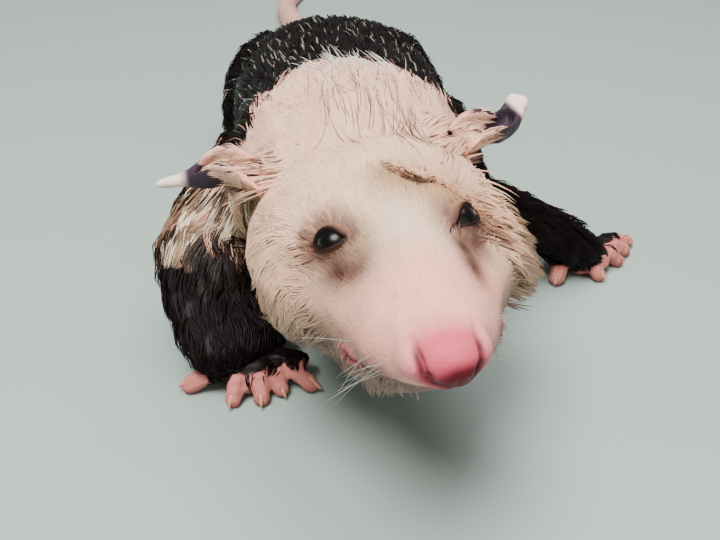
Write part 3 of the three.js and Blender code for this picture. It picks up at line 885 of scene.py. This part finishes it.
# The skin under the pale coat is pinker, and a little darker than the coat's tips as painted shade between
# the tufts
UNDERCOAT_PINK_AND_SHADE = (0.98, 0.93, 0.90)
under = np.clip(weight("head") + weight("neck") + weight("jaw"), 0, 1)
under *= pale_share(skin_points, head_at, weights)
tint = blend(tint, tint * UNDERCOAT_PINK_AND_SHADE, under * (1 - ease(-head_at[:, 1], 20, 36)))
for side in SIDES:
    tint = blend(tint, EYE_RIM, 0.97 * lid_share(head_at, side, 1.05, 1.6))
skin = new_object("skin", skin_points, skin_faces, skin_material, tint)
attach(skin, "root")
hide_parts(*FLESH)


# Eyes and claws
def grid_faces(rows, columns):
    """Triangles between the rings of a tube, which is left open at both ends."""
    k = np.arange(rows - 1)[:, None] * columns + np.arange(columns)[None]
    right = np.arange(rows - 1)[:, None] * columns + (np.arange(columns)[None] + 1) % columns
    a, b, c, d = k, right, right + columns, k + columns
    return np.concatenate([np.stack([a, b, c], -1).reshape(-1, 3), np.stack([a, c, d], -1).reshape(-1, 3)])


PUPIL, IRIS, EYE_EDGE = rgb(9, 8, 8), rgb(34, 23, 18), rgb(20, 14, 13)
CLAW_ROOT, CLAW_TIP = rgb(216, 150, 130), rgb(186, 138, 108)
CLAW_RADIUS, CLAW_SUNK, CLAW_ARCH = 1.5, 2.2, 0.9


def add_eye(side):
    """The ball of an eye, with a dark iris and a slight bulge over it."""
    out, forward, up = eye_frame(side)
    rows, columns = 40, 48
    polar = np.linspace(1e-3, math.pi - 1e-3, rows)[:, None]
    turn = np.linspace(0, 2 * math.pi, columns, endpoint=False)[None]
    ray = np.cos(polar)[..., None] * out + (np.sin(polar) * np.cos(turn))[..., None] * forward
    ray = (ray + (np.sin(polar) * np.sin(turn))[..., None] * up).reshape(-1, 3)
    angle = np.repeat(polar[:, 0], columns)
    radius = (EYE_RADIUS - 0.15) * (1 + 0.035 * np.exp(-((angle / 0.6) ** 2)))
    points = from_head(EYES_AT[side] + ray * radius[:, None])
    shade = painted(PUPIL, (IRIS, ease(angle, 0.5, 0.8)), (EYE_EDGE, ease(angle, 0.95, 1.1)))
    ball = new_object(f"eye_ball_{side}", points, grid_faces(rows, columns), eye_material, shade)
    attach(ball, "root")
    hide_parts(f"eye_{side}")


def add_claw(name):
    """A curved horn from inside the digit to the end of the frame's claw."""
    points, _ = node_mesh(name)
    middle = points.mean(0)
    axis = np.linalg.svd(points - middle)[2][0]
    along = (points - middle) @ axis
    off = np.linalg.norm(points - middle - along[:, None] * axis, axis=1)
    if off[along > np.median(along)].mean() > off[along < np.median(along)].mean():
        axis, along = -axis, -along
    low, high = along.min(), along.max()
    third = (high - low) / 3
    base = points[along <= low + third + 1e-6].mean(0) - axis * CLAW_SUNK
    end = points[along >= low + 2 * third - 1e-6].mean(0) - middle
    tip = middle + axis * (0.2 * low + 0.8 * high) + end - (end @ axis) * axis
    bend = (base + tip) / 2 + (0, 0, CLAW_ARCH)
    rows, columns = 9, 12
    t = np.linspace(0, 1, rows)[:, None]
    line = (1 - t) ** 2 * base + 2 * t * (1 - t) * bend + t ** 2 * tip
    across = unit(np.cross(axis, (0, 0, 1)))
    rise = np.cross(across, axis)
    turn = np.linspace(0, 2 * math.pi, columns, endpoint=False)
    girth = CLAW_RADIUS * (1 - t[:, 0]) ** 0.55 + 0.05
    ring = np.cos(turn)[:, None] * across * 0.8 + np.sin(turn)[:, None] * rise
    shape = (line[:, None] + ring[None] * girth[:, None, None]).reshape(-1, 3)
    shape[:, 2] = np.maximum(shape[:, 2], 0.05)
    shade = blend(CLAW_ROOT, CLAW_TIP, np.repeat(t[:, 0], columns))
    claw = new_object(f"horn_{name}", shape, grid_faces(rows, columns), claw_material, shade)
    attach(claw, "root")
    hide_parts(name)


for side in SIDES:
    add_eye(side)
for name in claw_names:
    add_claw(name)


# Coat: tapered tufts that follow the skin
skin_tree = BVHTree.FromPolygons(skin_points.tolist(), skin_faces.tolist())
corners = skin_points[skin_faces]
face_area = np.linalg.norm(np.cross(corners[:, 1] - corners[:, 0], corners[:, 2] - corners[:, 0]), axis=1) / 2
face_lie = lie[skin_faces].mean(1)
pale_here = pale_share(skin_points, head_at, weights)
PATCH = 0.003  # the width of a tuft's patch on the coat's map
MOST_TRIANGLES = 190000  # in one piece of coat
ROOT_DEPTH = 0.25
# How much tufts differ from one another, as factors
LENGTHS, WIDTHS, LIFTS, PULLS, CLUMP_LIFTS = (0.75, 1.2), (0.7, 1.25), (0.35, 1.0), (0.7, 1.0), (0.6, 1.15)
CLUMP_SWAY, TUFT_SWAY = 4.5, 1.5  # how far colours stray over the markings' edges


def sown(density, count):
    """count places on the skin, thicker where density (one value for each skin point) is higher."""
    total = np.cumsum(face_area * density[skin_faces].mean(1))
    picks = (np.arange(count) + rng.random(count)) / count * total[-1]
    face = np.minimum(np.searchsorted(total, picks), len(total) - 1)
    a, b = rng.random(count), rng.random(count)
    flip = a + b > 1
    a, b = np.where(flip, 1 - a, a), np.where(flip, 1 - b, b)
    return face, np.stack([1 - a - b, a, b], -1)


def carried(values, face, share):
    """Values at skin points, taken to places on faces."""
    return (values[skin_faces[face]] * share[..., None]).sum(1)


def laid(root, up, way, length, steps, hold):
    """Lines that run over the skin from their roots: points and the skin's normals at each step."""
    places, ups = [root], [up]
    for _ in range(steps):
        way = unit(way - up * (way * up).sum(-1, keepdims=True))
        place, up, face = nearest(skin_tree, root + way * (length / steps)[:, None])
        way = unit(hold * way + (1 - hold) * face_lie[face])
        places.append(place)
        ups.append(up)
        root = place
    return np.stack(places, 1), np.stack(ups, 1)


def unwrapped(points, owner):
    """A flat place in 0..1 for each point: each node of flesh is rolled out round its own length."""
    present = np.unique(owner)
    across = math.ceil(math.sqrt(len(present)))
    flat = np.zeros((len(points), 2))
    for cell, node in enumerate(present):
        mine = owner == node
        axis = unit(lie_by_node[node])
        side_way = unit(np.cross(axis, (0.3, 0.1, 1.0)))
        rise = np.cross(side_way, axis)
        offset = points[mine] - skin_points[owners == node].mean(0)
        angle = np.arctan2(offset @ side_way, offset @ rise) / (2 * math.pi) + 0.5
        span = skin_points[owners == node] @ axis
        along = (points[mine] @ axis - span.min()) / (span.max() - span.min())
        corner = np.array([cell % across, cell // across])
        flat[mine] = (corner + 0.04 + 0.92 * np.clip(np.stack([angle, along], -1), 0, 1)) / across
    return flat


PALE, DARK = (pale_fur, "pale_coat"), (dark_fur, "dark_coat")  # a coat's material and its slot
TAPER, SHORT_TAPER = (0.75, 1.0, 0.8, 0.5), (0.85, 0.8)  # a tuft's width at each step, before its point
LOWEST, ABOVE_CAD_BOX = 0.05, 2.0  # how low and how high tufts may reach


def tuft_faces(rings):
    """The triangles of one closed tuft of three-sided rings and a point."""
    faces = [[0, 2, 1]]
    for k in range(rings - 1):
        for c in range(3):
            a, b = 3 * k + c, 3 * k + (c + 1) % 3
            faces += [[a, b, b + 3], [a, b + 3, a + 3]]
    last = 3 * (rings - 1)
    return np.array(faces + [[last + c, last + (c + 1) % 3, 3 * rings] for c in range(3)])


def tufts(name, fur, line, ups, width, tint, owner, thick, flatness):
    """Closed tapering tufts along lines of points, as pieces of at most MOST_TRIANGLES."""
    count, rings = len(line), line.shape[1] - 1
    taper = np.array(TAPER[:rings] if rings > 2 else SHORT_TAPER)
    along = unit(np.gradient(line, axis=1))
    across = unit(np.cross(along, ups))[:, :rings]
    rise = np.cross(across, along[:, :rings])
    half = (width[:, None] * taper[None])[..., None] / 2
    ring = np.stack([line[:, :rings] + across * half, line[:, :rings] - across * half,
                     line[:, :rings] + rise * half * 2 * thick], axis=2)
    points = np.concatenate([ring.reshape(count, rings * 3, 3), line[:, -1:]], axis=1)
    points[:, :, 2] = np.clip(points[:, :, 2], LOWEST, cad_box[1][2] / MM + ABOVE_CAD_BOX)
    # Each tuft is lit nearly as the skin below it is, which lets neighbours run together
    leans = np.stack([across, -across, rise * 0.2], axis=2).reshape(count, rings * 3, 3)
    facing = unit(np.repeat(ups[:, :rings], 3, axis=1) * flatness + leans)
    facing = np.concatenate([facing, ups[:, -1:]], axis=1)
    level = np.append(np.repeat(np.arange(rings), 3), rings) / rings
    shade = tint[:, 0][:, None] * (1 - level)[None, :, None] + tint[:, 1][:, None] * level[None, :, None]
    patch = np.stack([np.append(np.tile([0, 1, 0.5], rings), 0.5), level], -1) * PATCH - PATCH / 2
    flat = unwrapped(line[:, 0], owner)[:, None] + patch[None]
    pattern = tuft_faces(rings)
    parts = math.ceil(count / (MOST_TRIANGLES // len(pattern)))
    order = np.argsort(owner, kind="stable")
    material, slot = fur
    for part in range(parts):
        mine = order[part * count // parts:(part + 1) * count // parts]
        starts = points.shape[1] * np.arange(len(mine))
        faces = (pattern[None] + starts[:, None, None]).reshape(-1, 3)
        made = new_object(f"{name}_{part + 1}", points[mine].reshape(-1, 3), faces, material,
                          shade[mine].reshape(-1, 3))
        made.data.normals_split_custom_set_from_vertices(facing[mine].reshape(-1, 3))
        layer = made.data.uv_layers.new(name="OFBake")
        layer.data.foreach_set("uv", flat[mine].reshape(-1, 2)[faces.ravel()].astype(np.float32).ravel())
        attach(made, "root")


def gathered(line, cell, pull, seed):
    """Lines drawn together towards their tips, in clumps about one cell across, and each one's clump."""
    root = line[:, 0]
    shift = np.stack([noise(root, cell * 1.7, seed + k) for k in range(3)], -1) * cell * 0.5
    keys = np.floor((root + shift) / cell).astype(np.int64)
    _, leader, clump = np.unique(keys, axis=0, return_index=True, return_inverse=True)
    clump = clump.reshape(-1)
    lead = line[leader[clump]]
    steps = line.shape[1] - 1
    for k in range(1, steps + 1):
        share = (pull * (k / steps) ** 0.9)[:, None]
        line[:, k] = line[:, k] * (1 - share) + lead[:, k] * share
    return line, clump, len(leader)


def at_roots(value, h, table):
    """A number, or a function of the place in the head's frame and the regions, at each root."""
    return value(h, table) if callable(value) else np.full(len(h), float(value))


def coat(name, fur, density, count, steps, length, width, lift, cell, pull,
         seed, streak=None, spread=0.2, base=0.9, tip=1.08, thick=0.5, swirl=0.2, toward=None,
         hold=0.55, vary=0.12, flatness=2.0, stand=0.0, sag=0.0):
    """One region's coat. length, width, lift and pull are numbers or functions, as at_roots reads them.

    toward is a direction in the head's frame that replaces the lie of the skin's own hair; stand is how
    far the tufts keep straight from their roots, and sag how far their tips hang.
    """
    face, share = sown(density, count)
    root, up = carried(skin_points, face, share), unit(carried(normal, face, share))
    table = carried(weights, face, share)
    way, h = carried(lie, face, share), to_head(root)
    owner = owners[skin_faces[face]][:, 0]
    if toward is not None:
        way = np.repeat((HEAD_TURN @ np.array(toward, float))[None], count, 0)
    swirls = np.stack([noise(root, 8, seed + 3 + k) for k in range(3)], -1)
    way = unit(way) + rng.normal(0, spread, (count, 3)) + swirl * swirls
    size = at_roots(length, h, table) * rng.uniform(*LENGTHS, count)
    line, ups = laid(root - up * ROOT_DEPTH, up, way, size, steps, hold)
    if stand:
        t = np.linspace(0, 1, steps + 1)[None, :, None]
        straight = root[:, None] + unit(way)[:, None] * size[:, None, None] * t
        line = line * (1 - stand) + straight * stand
        line[:, :, 2] -= sag * t[:, :, 0] ** 2
    rise = at_roots(lift, h, table) * rng.uniform(*LIFTS, count)
    drawn = at_roots(pull, h, table) * rng.uniform(*PULLS, count)
    line, clump, clumps = gathered(line, cell, drawn, seed)
    rise *= rng.uniform(*CLUMP_LIFTS, clumps)[clump]
    for k in range(steps + 1):
        line[:, k] += ups[:, k] * (rise * math.sin(k / steps * math.pi * 0.62))[:, None]
    line[:, :, 2] = np.maximum(line[:, :, 2], LOWEST + 0.1)
    sway = rng.normal(0, CLUMP_SWAY, clumps)[clump] + rng.normal(0, TUFT_SWAY, count)
    colour = markings(root, table, bare=False, sway=sway)
    bright = rng.uniform(1 - vary, 1 + vary, clumps)[clump] * rng.uniform(0.94, 1.06, count)
    colour *= bright[:, None]
    if streak:
        colour = streak(colour, root, h, clump, clumps)
    # Each tuft goes from base to tip times its colour: the darker roots are painted shade deep in the coat,
    # the lighter tips painted light
    shade = np.stack([colour * base, colour * tip], 1)
    thickness = at_roots(width, h, table) * rng.uniform(*WIDTHS, count)
    tufts(name, fur, line, ups, thickness, shade, owner, thick, flatness)


# Where each coat grows
head_weight = weight("head") + weight("jaw")
front = 1 - ease(head_at[:, 1], 18, 34)
open_eyes = np.ones(len(skin_points))
for side in SIDES:
    open_eyes *= 1 - lid_share(head_at, side, 1.3, 1.9)
off_nose = 1 - ease(weight("nose"), 0.05, 0.3)
off_ear = 1 - ease(weight("ear"), 0.1, 0.5)
# The coat of the head keeps off the places that an ear covers
is_ear = weight("ear") > 0.5
beside = (np.abs(head_at[:, 0]) > 22) & (np.abs(head_at[:, 0]) < 50) & ~is_ear
beside &= (head_at[:, 1] > 25) & (head_at[:, 1] < 85)
ear_tree = BVHTree.FromPolygons(skin_points.tolist(), skin_faces[is_ear[skin_faces].all(1)].tolist())
place, out_way, _ = nearest(ear_tree, skin_points[beside])
off_root = np.ones(len(skin_points))
off_root[beside] = ease(((skin_points[beside] - place) * out_way).sum(1), 0.6, 2.2)
lip_gap = 1 - 0.9 * blob(head_at * (1, 0, 1), (0, 0, -28), (99, 1, 1.3)) * (head_at[:, 1] < -8)
_, lip_corner = mouth_gap(head_at)
hand_weight = (weight("forepaw") + weight("hindfoot")) * (1 - digit_share(skin_points, weights))

# Short coat of the face, and the longer one over crown and neck
face_density = head_weight * front * open_eyes * off_nose * lip_gap * (1 - 0.95 * ease(lip_corner, 0.2, 0.6))
face_density *= 1 - 0.7 * ease(-head_at[:, 1], 20, 38) * (1 - weight("jaw"))
coat("coat_face", PALE, face_density, 34000, 2,
     length=lambda h, w: 2.2 + 4.4 * ease(h[:, 1], -34, 20),
     width=lambda h, w: 0.24 + 0.16 * ease(h[:, 1], -30, 20),
     lift=lambda h, w: 0.12 + 0.35 * ease(h[:, 1], -30, 15),
     cell=3.2, pull=lambda h, w: 0.15 + 0.55 * ease(h[:, 1], -25, 20),
     spread=0.12, seed=21, base=0.97, tip=1.03, thick=0.3, vary=0.04)
crown_density = (head_weight * (1 - front) + weight("neck") * pale_here) * off_ear * off_root
coat("coat_crown", PALE, crown_density, 31000, 2,
     length=lambda h, w: 7 + 4 * ease(h[:, 1], 30, 90), width=0.42,
     lift=lambda h, w: 0.4 + 0.8 * ease(h[:, 1], 50, 95), cell=4.6, pull=0.7,
     spread=0.12, seed=31, base=0.97, tip=1.03, thick=0.3, vary=0.05)

# Pointed locks down the cheeks, out from the left cheek and below the right one
cheek_density = head_weight * cheek * off_nose * ease(head_at[:, 1], -16, -4)
coat("cheek_locks", PALE, cheek_density, 7000, 3,
     length=lambda h, w: 6 + 4 * ease(np.abs(h[:, 0]), 24, 36), width=0.42, lift=1.2, cell=4.8, pull=0.97,
     spread=0.3, seed=36, base=0.94, tip=1.05, swirl=0.6, vary=0.05)
spikes = blob(head_at, (35, 8, -11), (6, 12, 10)) * head_weight * ease(head_at[:, 1], -8, 0)
coat("cheek_spikes", PALE, spikes, 1500, 3, length=11, width=0.6, lift=1.0, cell=4.6, pull=0.98,
     seed=44, base=0.92, tip=1.06, toward=(0.9, 0.1, -0.5), hold=0.95, stand=0.75)
ragged = blob(head_at, (-35, 0, -20), (6, 12, 9)) * head_weight
coat("cheek_fringe", PALE, ragged, 1000, 3, length=8.5, width=0.5, lift=1.0, cell=4.4, pull=0.98,
     spread=0.3, seed=47, base=0.92, tip=1.05, toward=(-0.6, 0.2, -0.65), hold=0.95, stand=0.4)

# Locks on the inner half of each ear, and over the place where it leaves the head
ROOT_LOCKS = {"right": 13, "left": 9}  # their lengths
for side, sign in SIDES.items():
    outward = head_at[:, 0] * sign
    base_of_ear = weight("ear") * ease(outward, 31, 34)
    base_of_ear *= 1 - ease(outward - 0.5 * (head_at[:, 2] - 16), 38, 45)
    coat(f"ear_locks_{side}", PALE, base_of_ear, 1500, 3, length=7.5, width=0.32, lift=0.6, cell=3.0,
         pull=0.9, seed=52 + sign, toward=(sign, 0.15, -0.1), hold=0.8, swirl=0.5,
         base=0.96, tip=1.0)
    beside_ear = blob(head_at, (sign * 30.5, 49, 19), (3.2, 8, 6)) * (head_weight + weight("neck")) * off_ear
    coat(f"ear_roots_{side}", PALE, beside_ear, 1300, 3, length=ROOT_LOCKS[side], width=0.48, lift=1.0,
         cell=3.6, pull=0.9, spread=0.14, seed=94 + sign, toward=(sign, 0.28, 0.12), hold=0.95,
         swirl=0.35, base=0.96, tip=1.0, stand=0.85)


def streaked(colour, root, h, clump, clumps):
    """Cream, tan, brown and black locks, darker further down the shoulder."""
    shades = np.array([rgb(224, 196, 168), rgb(158, 124, 96), rgb(96, 70, 54), rgb(44, 30, 25), BLACK_COAT])
    pick = np.clip(rng.normal(1.2, 1.1, clumps)[clump] + 3.4 * ease(-h[:, 2], -2, 16), 0, 4)
    low = np.floor(pick).astype(int)
    mixed = blend(shades[low], shades[np.minimum(low + 1, 4)], pick - low)
    return mixed * rng.uniform(0.8, 1.15, len(root))[:, None]


def silvered(colour, root, h, clump, clumps):
    """White guard hairs over the dark back."""
    pale = rng.random(len(root)) < 0.07
    share = pale * ease(root[:, 2], 8, 30) * rng.uniform(0.15, 0.55, len(root))
    return blend(colour, SILVER, share)


def all_of(shade, least, most):
    """A streak function for tufts of one colour, each a little lighter or darker."""
    return lambda colour, root, h, clump, clumps: shade * rng.uniform(least, most, len(root))[:, None]


# Long locks of the right shoulder, and the dark coat of limbs, back and thighs
shoulder_near = blob(head_at, (-50, 76, -7), (13, 14, 14))
shoulder_near *= weight("neck") + weight("upper_arm") + weight("head")
coat("shoulder_locks", PALE, shoulder_near, 5200, 3, length=20, width=0.55, lift=2.6, cell=4.0, pull=0.96,
     streak=streaked, seed=57, toward=(-0.62, -0.25, -0.75), hold=0.85, swirl=0.5)
arm_density = weight("upper_arm") + weight("forearm") + weight("neck") * (1 - pale_here) + 3.5 * hand_weight
coat("coat_arms", DARK, arm_density, 14200, 3,
     length=lambda h, w: 10 + 5 * (weight("upper_arm", w) + weight("neck", w) - weight("hindfoot", w))
     - 4.5 * weight("forepaw", w),
     width=lambda h, w: 0.58 - 0.1 * weight("forepaw", w),
     lift=lambda h, w: 2.6 - 1.6 * weight("forepaw", w) - 2 * weight("hindfoot", w),
     cell=6.5, pull=0.92, spread=0.3, seed=41, swirl=0.45, flatness=0.7)
coat("coat_back", DARK, weight("trunk"), 12000, 3, length=21, width=0.85, lift=3.2, cell=7.0, pull=0.9,
     streak=silvered, spread=0.16, seed=51, swirl=0.35, flatness=0.7)
coat("coat_legs", DARK, weight("thigh") + weight("shank") + weight("tail_1"), 5000, 3,
     length=lambda h, w: 11 - 5 * weight("shank", w) - 3 * weight("tail_1", w), width=0.9, lift=2.2,
     cell=5.5, pull=0.88, spread=0.22, seed=61, swirl=0.35, flatness=0.7)

# Wisps under the chin, long dark hairs over the crown, the clump in the brow's fold, wisps at the nape
DARK_HAIR, WHITE_HAIR = all_of(rgb(88, 64, 54), 0.5, 1.5), all_of(rgb(236, 224, 214), 0.8, 1.05)
chin = (blob(head_at, (-17, -14, -33), (8, 13, 6)) + blob(head_at, (18, -14, -33), (8, 13, 6))) * lip_gap
coat("chin_wisps", PALE, chin * head_weight, 900, 3, length=6.5, width=0.26, lift=0.8, cell=3.0, pull=0.92,
     spread=0.3, seed=87, toward=(0, 0.5, -0.85), hold=0.9, stand=0.5, base=1.1, tip=1.6)
guard_area = (blob(head_at, (7, 62, 30), (16, 22, 20)) + blob(head_at, (22, 34, 14), (7, 16, 12))) * off_ear
coat("guard_crown", DARK, guard_area * (head_weight + weight("neck")), 150, 4, length=26, width=0.22,
     lift=1.2, cell=9.0, pull=0.45, streak=DARK_HAIR, seed=71, swirl=0.9)
side_of_fold, fold = fold_side(head_at)
brow_area = fold * np.exp(-(((side_of_fold - 0.6) / 1.2) ** 2)) * head_weight
brow_area *= blob(head_at, (8, 12.5, 12), (4.5, 4, 4))
coat("brow_clump", DARK, brow_area, 44, 3, length=5.5, width=0.22, lift=0.5, cell=2.8, pull=0.95,
     streak=DARK_HAIR, seed=75, toward=(0.35, -0.8, -0.45), hold=0.9, swirl=0.4, stand=0.3)
nape_area = (blob(head_at, (1, 94, 45), (6, 5, 9)) + 0.5 * blob(head_at, (20, 88, 36), (9, 5, 9))) * off_ear
coat("nape_wisps", PALE, nape_area * (weight("neck") + weight("trunk")), 70, 4, length=15, width=0.3,
     lift=2.0, cell=7.0, pull=0.9, streak=WHITE_HAIR, spread=0.3, seed=79, toward=(-0.2, 0.8, 0.35),
     hold=0.9, swirl=0.8, stand=0.5)

pads = sum(blob(head_at, (0.8 + sign * 13.5, -31, -23), (3.5, 6, 3.5)) for sign in SIDES.values())
for side, sign in SIDES.items():
    coat(f"whiskers_{side}", PALE, pads * head_weight * (head_at[:, 0] * sign > 0), 9, 4,
         length=19, width=0.15, lift=0, cell=0.5, pull=0, streak=WHITE_HAIR, seed=83,
         toward=(0.6 * sign, 0.65, -0.35), hold=0.95, swirl=0.2, thick=0.9, stand=1.0, sag=2.5)


# Floor, light and camera
FLOOR_REACH, FLOOR_COLOUR = 4000.0, rgb(150, 166, 160)
STUDIO_COLOUR, STUDIO_STRENGTH = (0.90, 0.875, 0.86, 1), 0.29
floor_corners = np.array([(-1, -1, 0), (1, -1, 0), (1, 1, 0), (-1, 1, 0)]) * FLOOR_REACH
floor_material = textured("floor", 60, 0.02, spread=0.02, Roughness=0.55)
floor = new_object("floor", floor_corners, [[0, 1, 2, 3]], floor_material, FLOOR_COLOUR)


def area_light(name, place, target, size, power, colour):
    """A round soft light at a place, turned to its target."""
    data = bpy.data.lights.new(name, "AREA")
    data.shape, data.size, data.size_y = "ELLIPSE", size, size
    data.energy, data.color = power, colour
    light = bpy.data.objects.new(name, data)
    light.location = place
    light.rotation_euler = (Vector(target) - Vector(place)).to_track_quat("-Z", "Y").to_euler()
    bpy.context.scene.collection.objects.link(light)


head_place = HEAD_ORIGIN * MM
area_light("key", head_place + (-0.30, -0.30, 1.15), head_place, 0.7, 34, (1, 0.965, 0.93))
area_light("top", head_place + (0.25, 0.35, 1.2), head_place, 0.9, 15, (1, 0.98, 0.96))
area_light("fill", head_place + (0.6, -0.9, 0.45), head_place, 1.2, 3, (1, 0.96, 0.93))
world = bpy.data.worlds.new("studio")
world.use_nodes = True
backdrop = world.node_tree.nodes["Background"]
backdrop.inputs["Color"].default_value = STUDIO_COLOUR
backdrop.inputs["Strength"].default_value = STUDIO_STRENGTH
bpy.context.scene.world = world

camera = bpy.data.objects.new("camera", bpy.data.cameras.new("camera"))
camera.data.lens = CAMERA_LENS
camera.data.clip_start = 0.01
camera.location = (HEAD_ORIGIN + CAMERA_FROM_HEAD) * MM
camera.rotation_euler = (math.radians(90 - CAMERA_DOWN), 0, math.radians(CAMERA_HEADING))
bpy.context.scene.collection.objects.link(camera)
bpy.context.scene.camera = camera
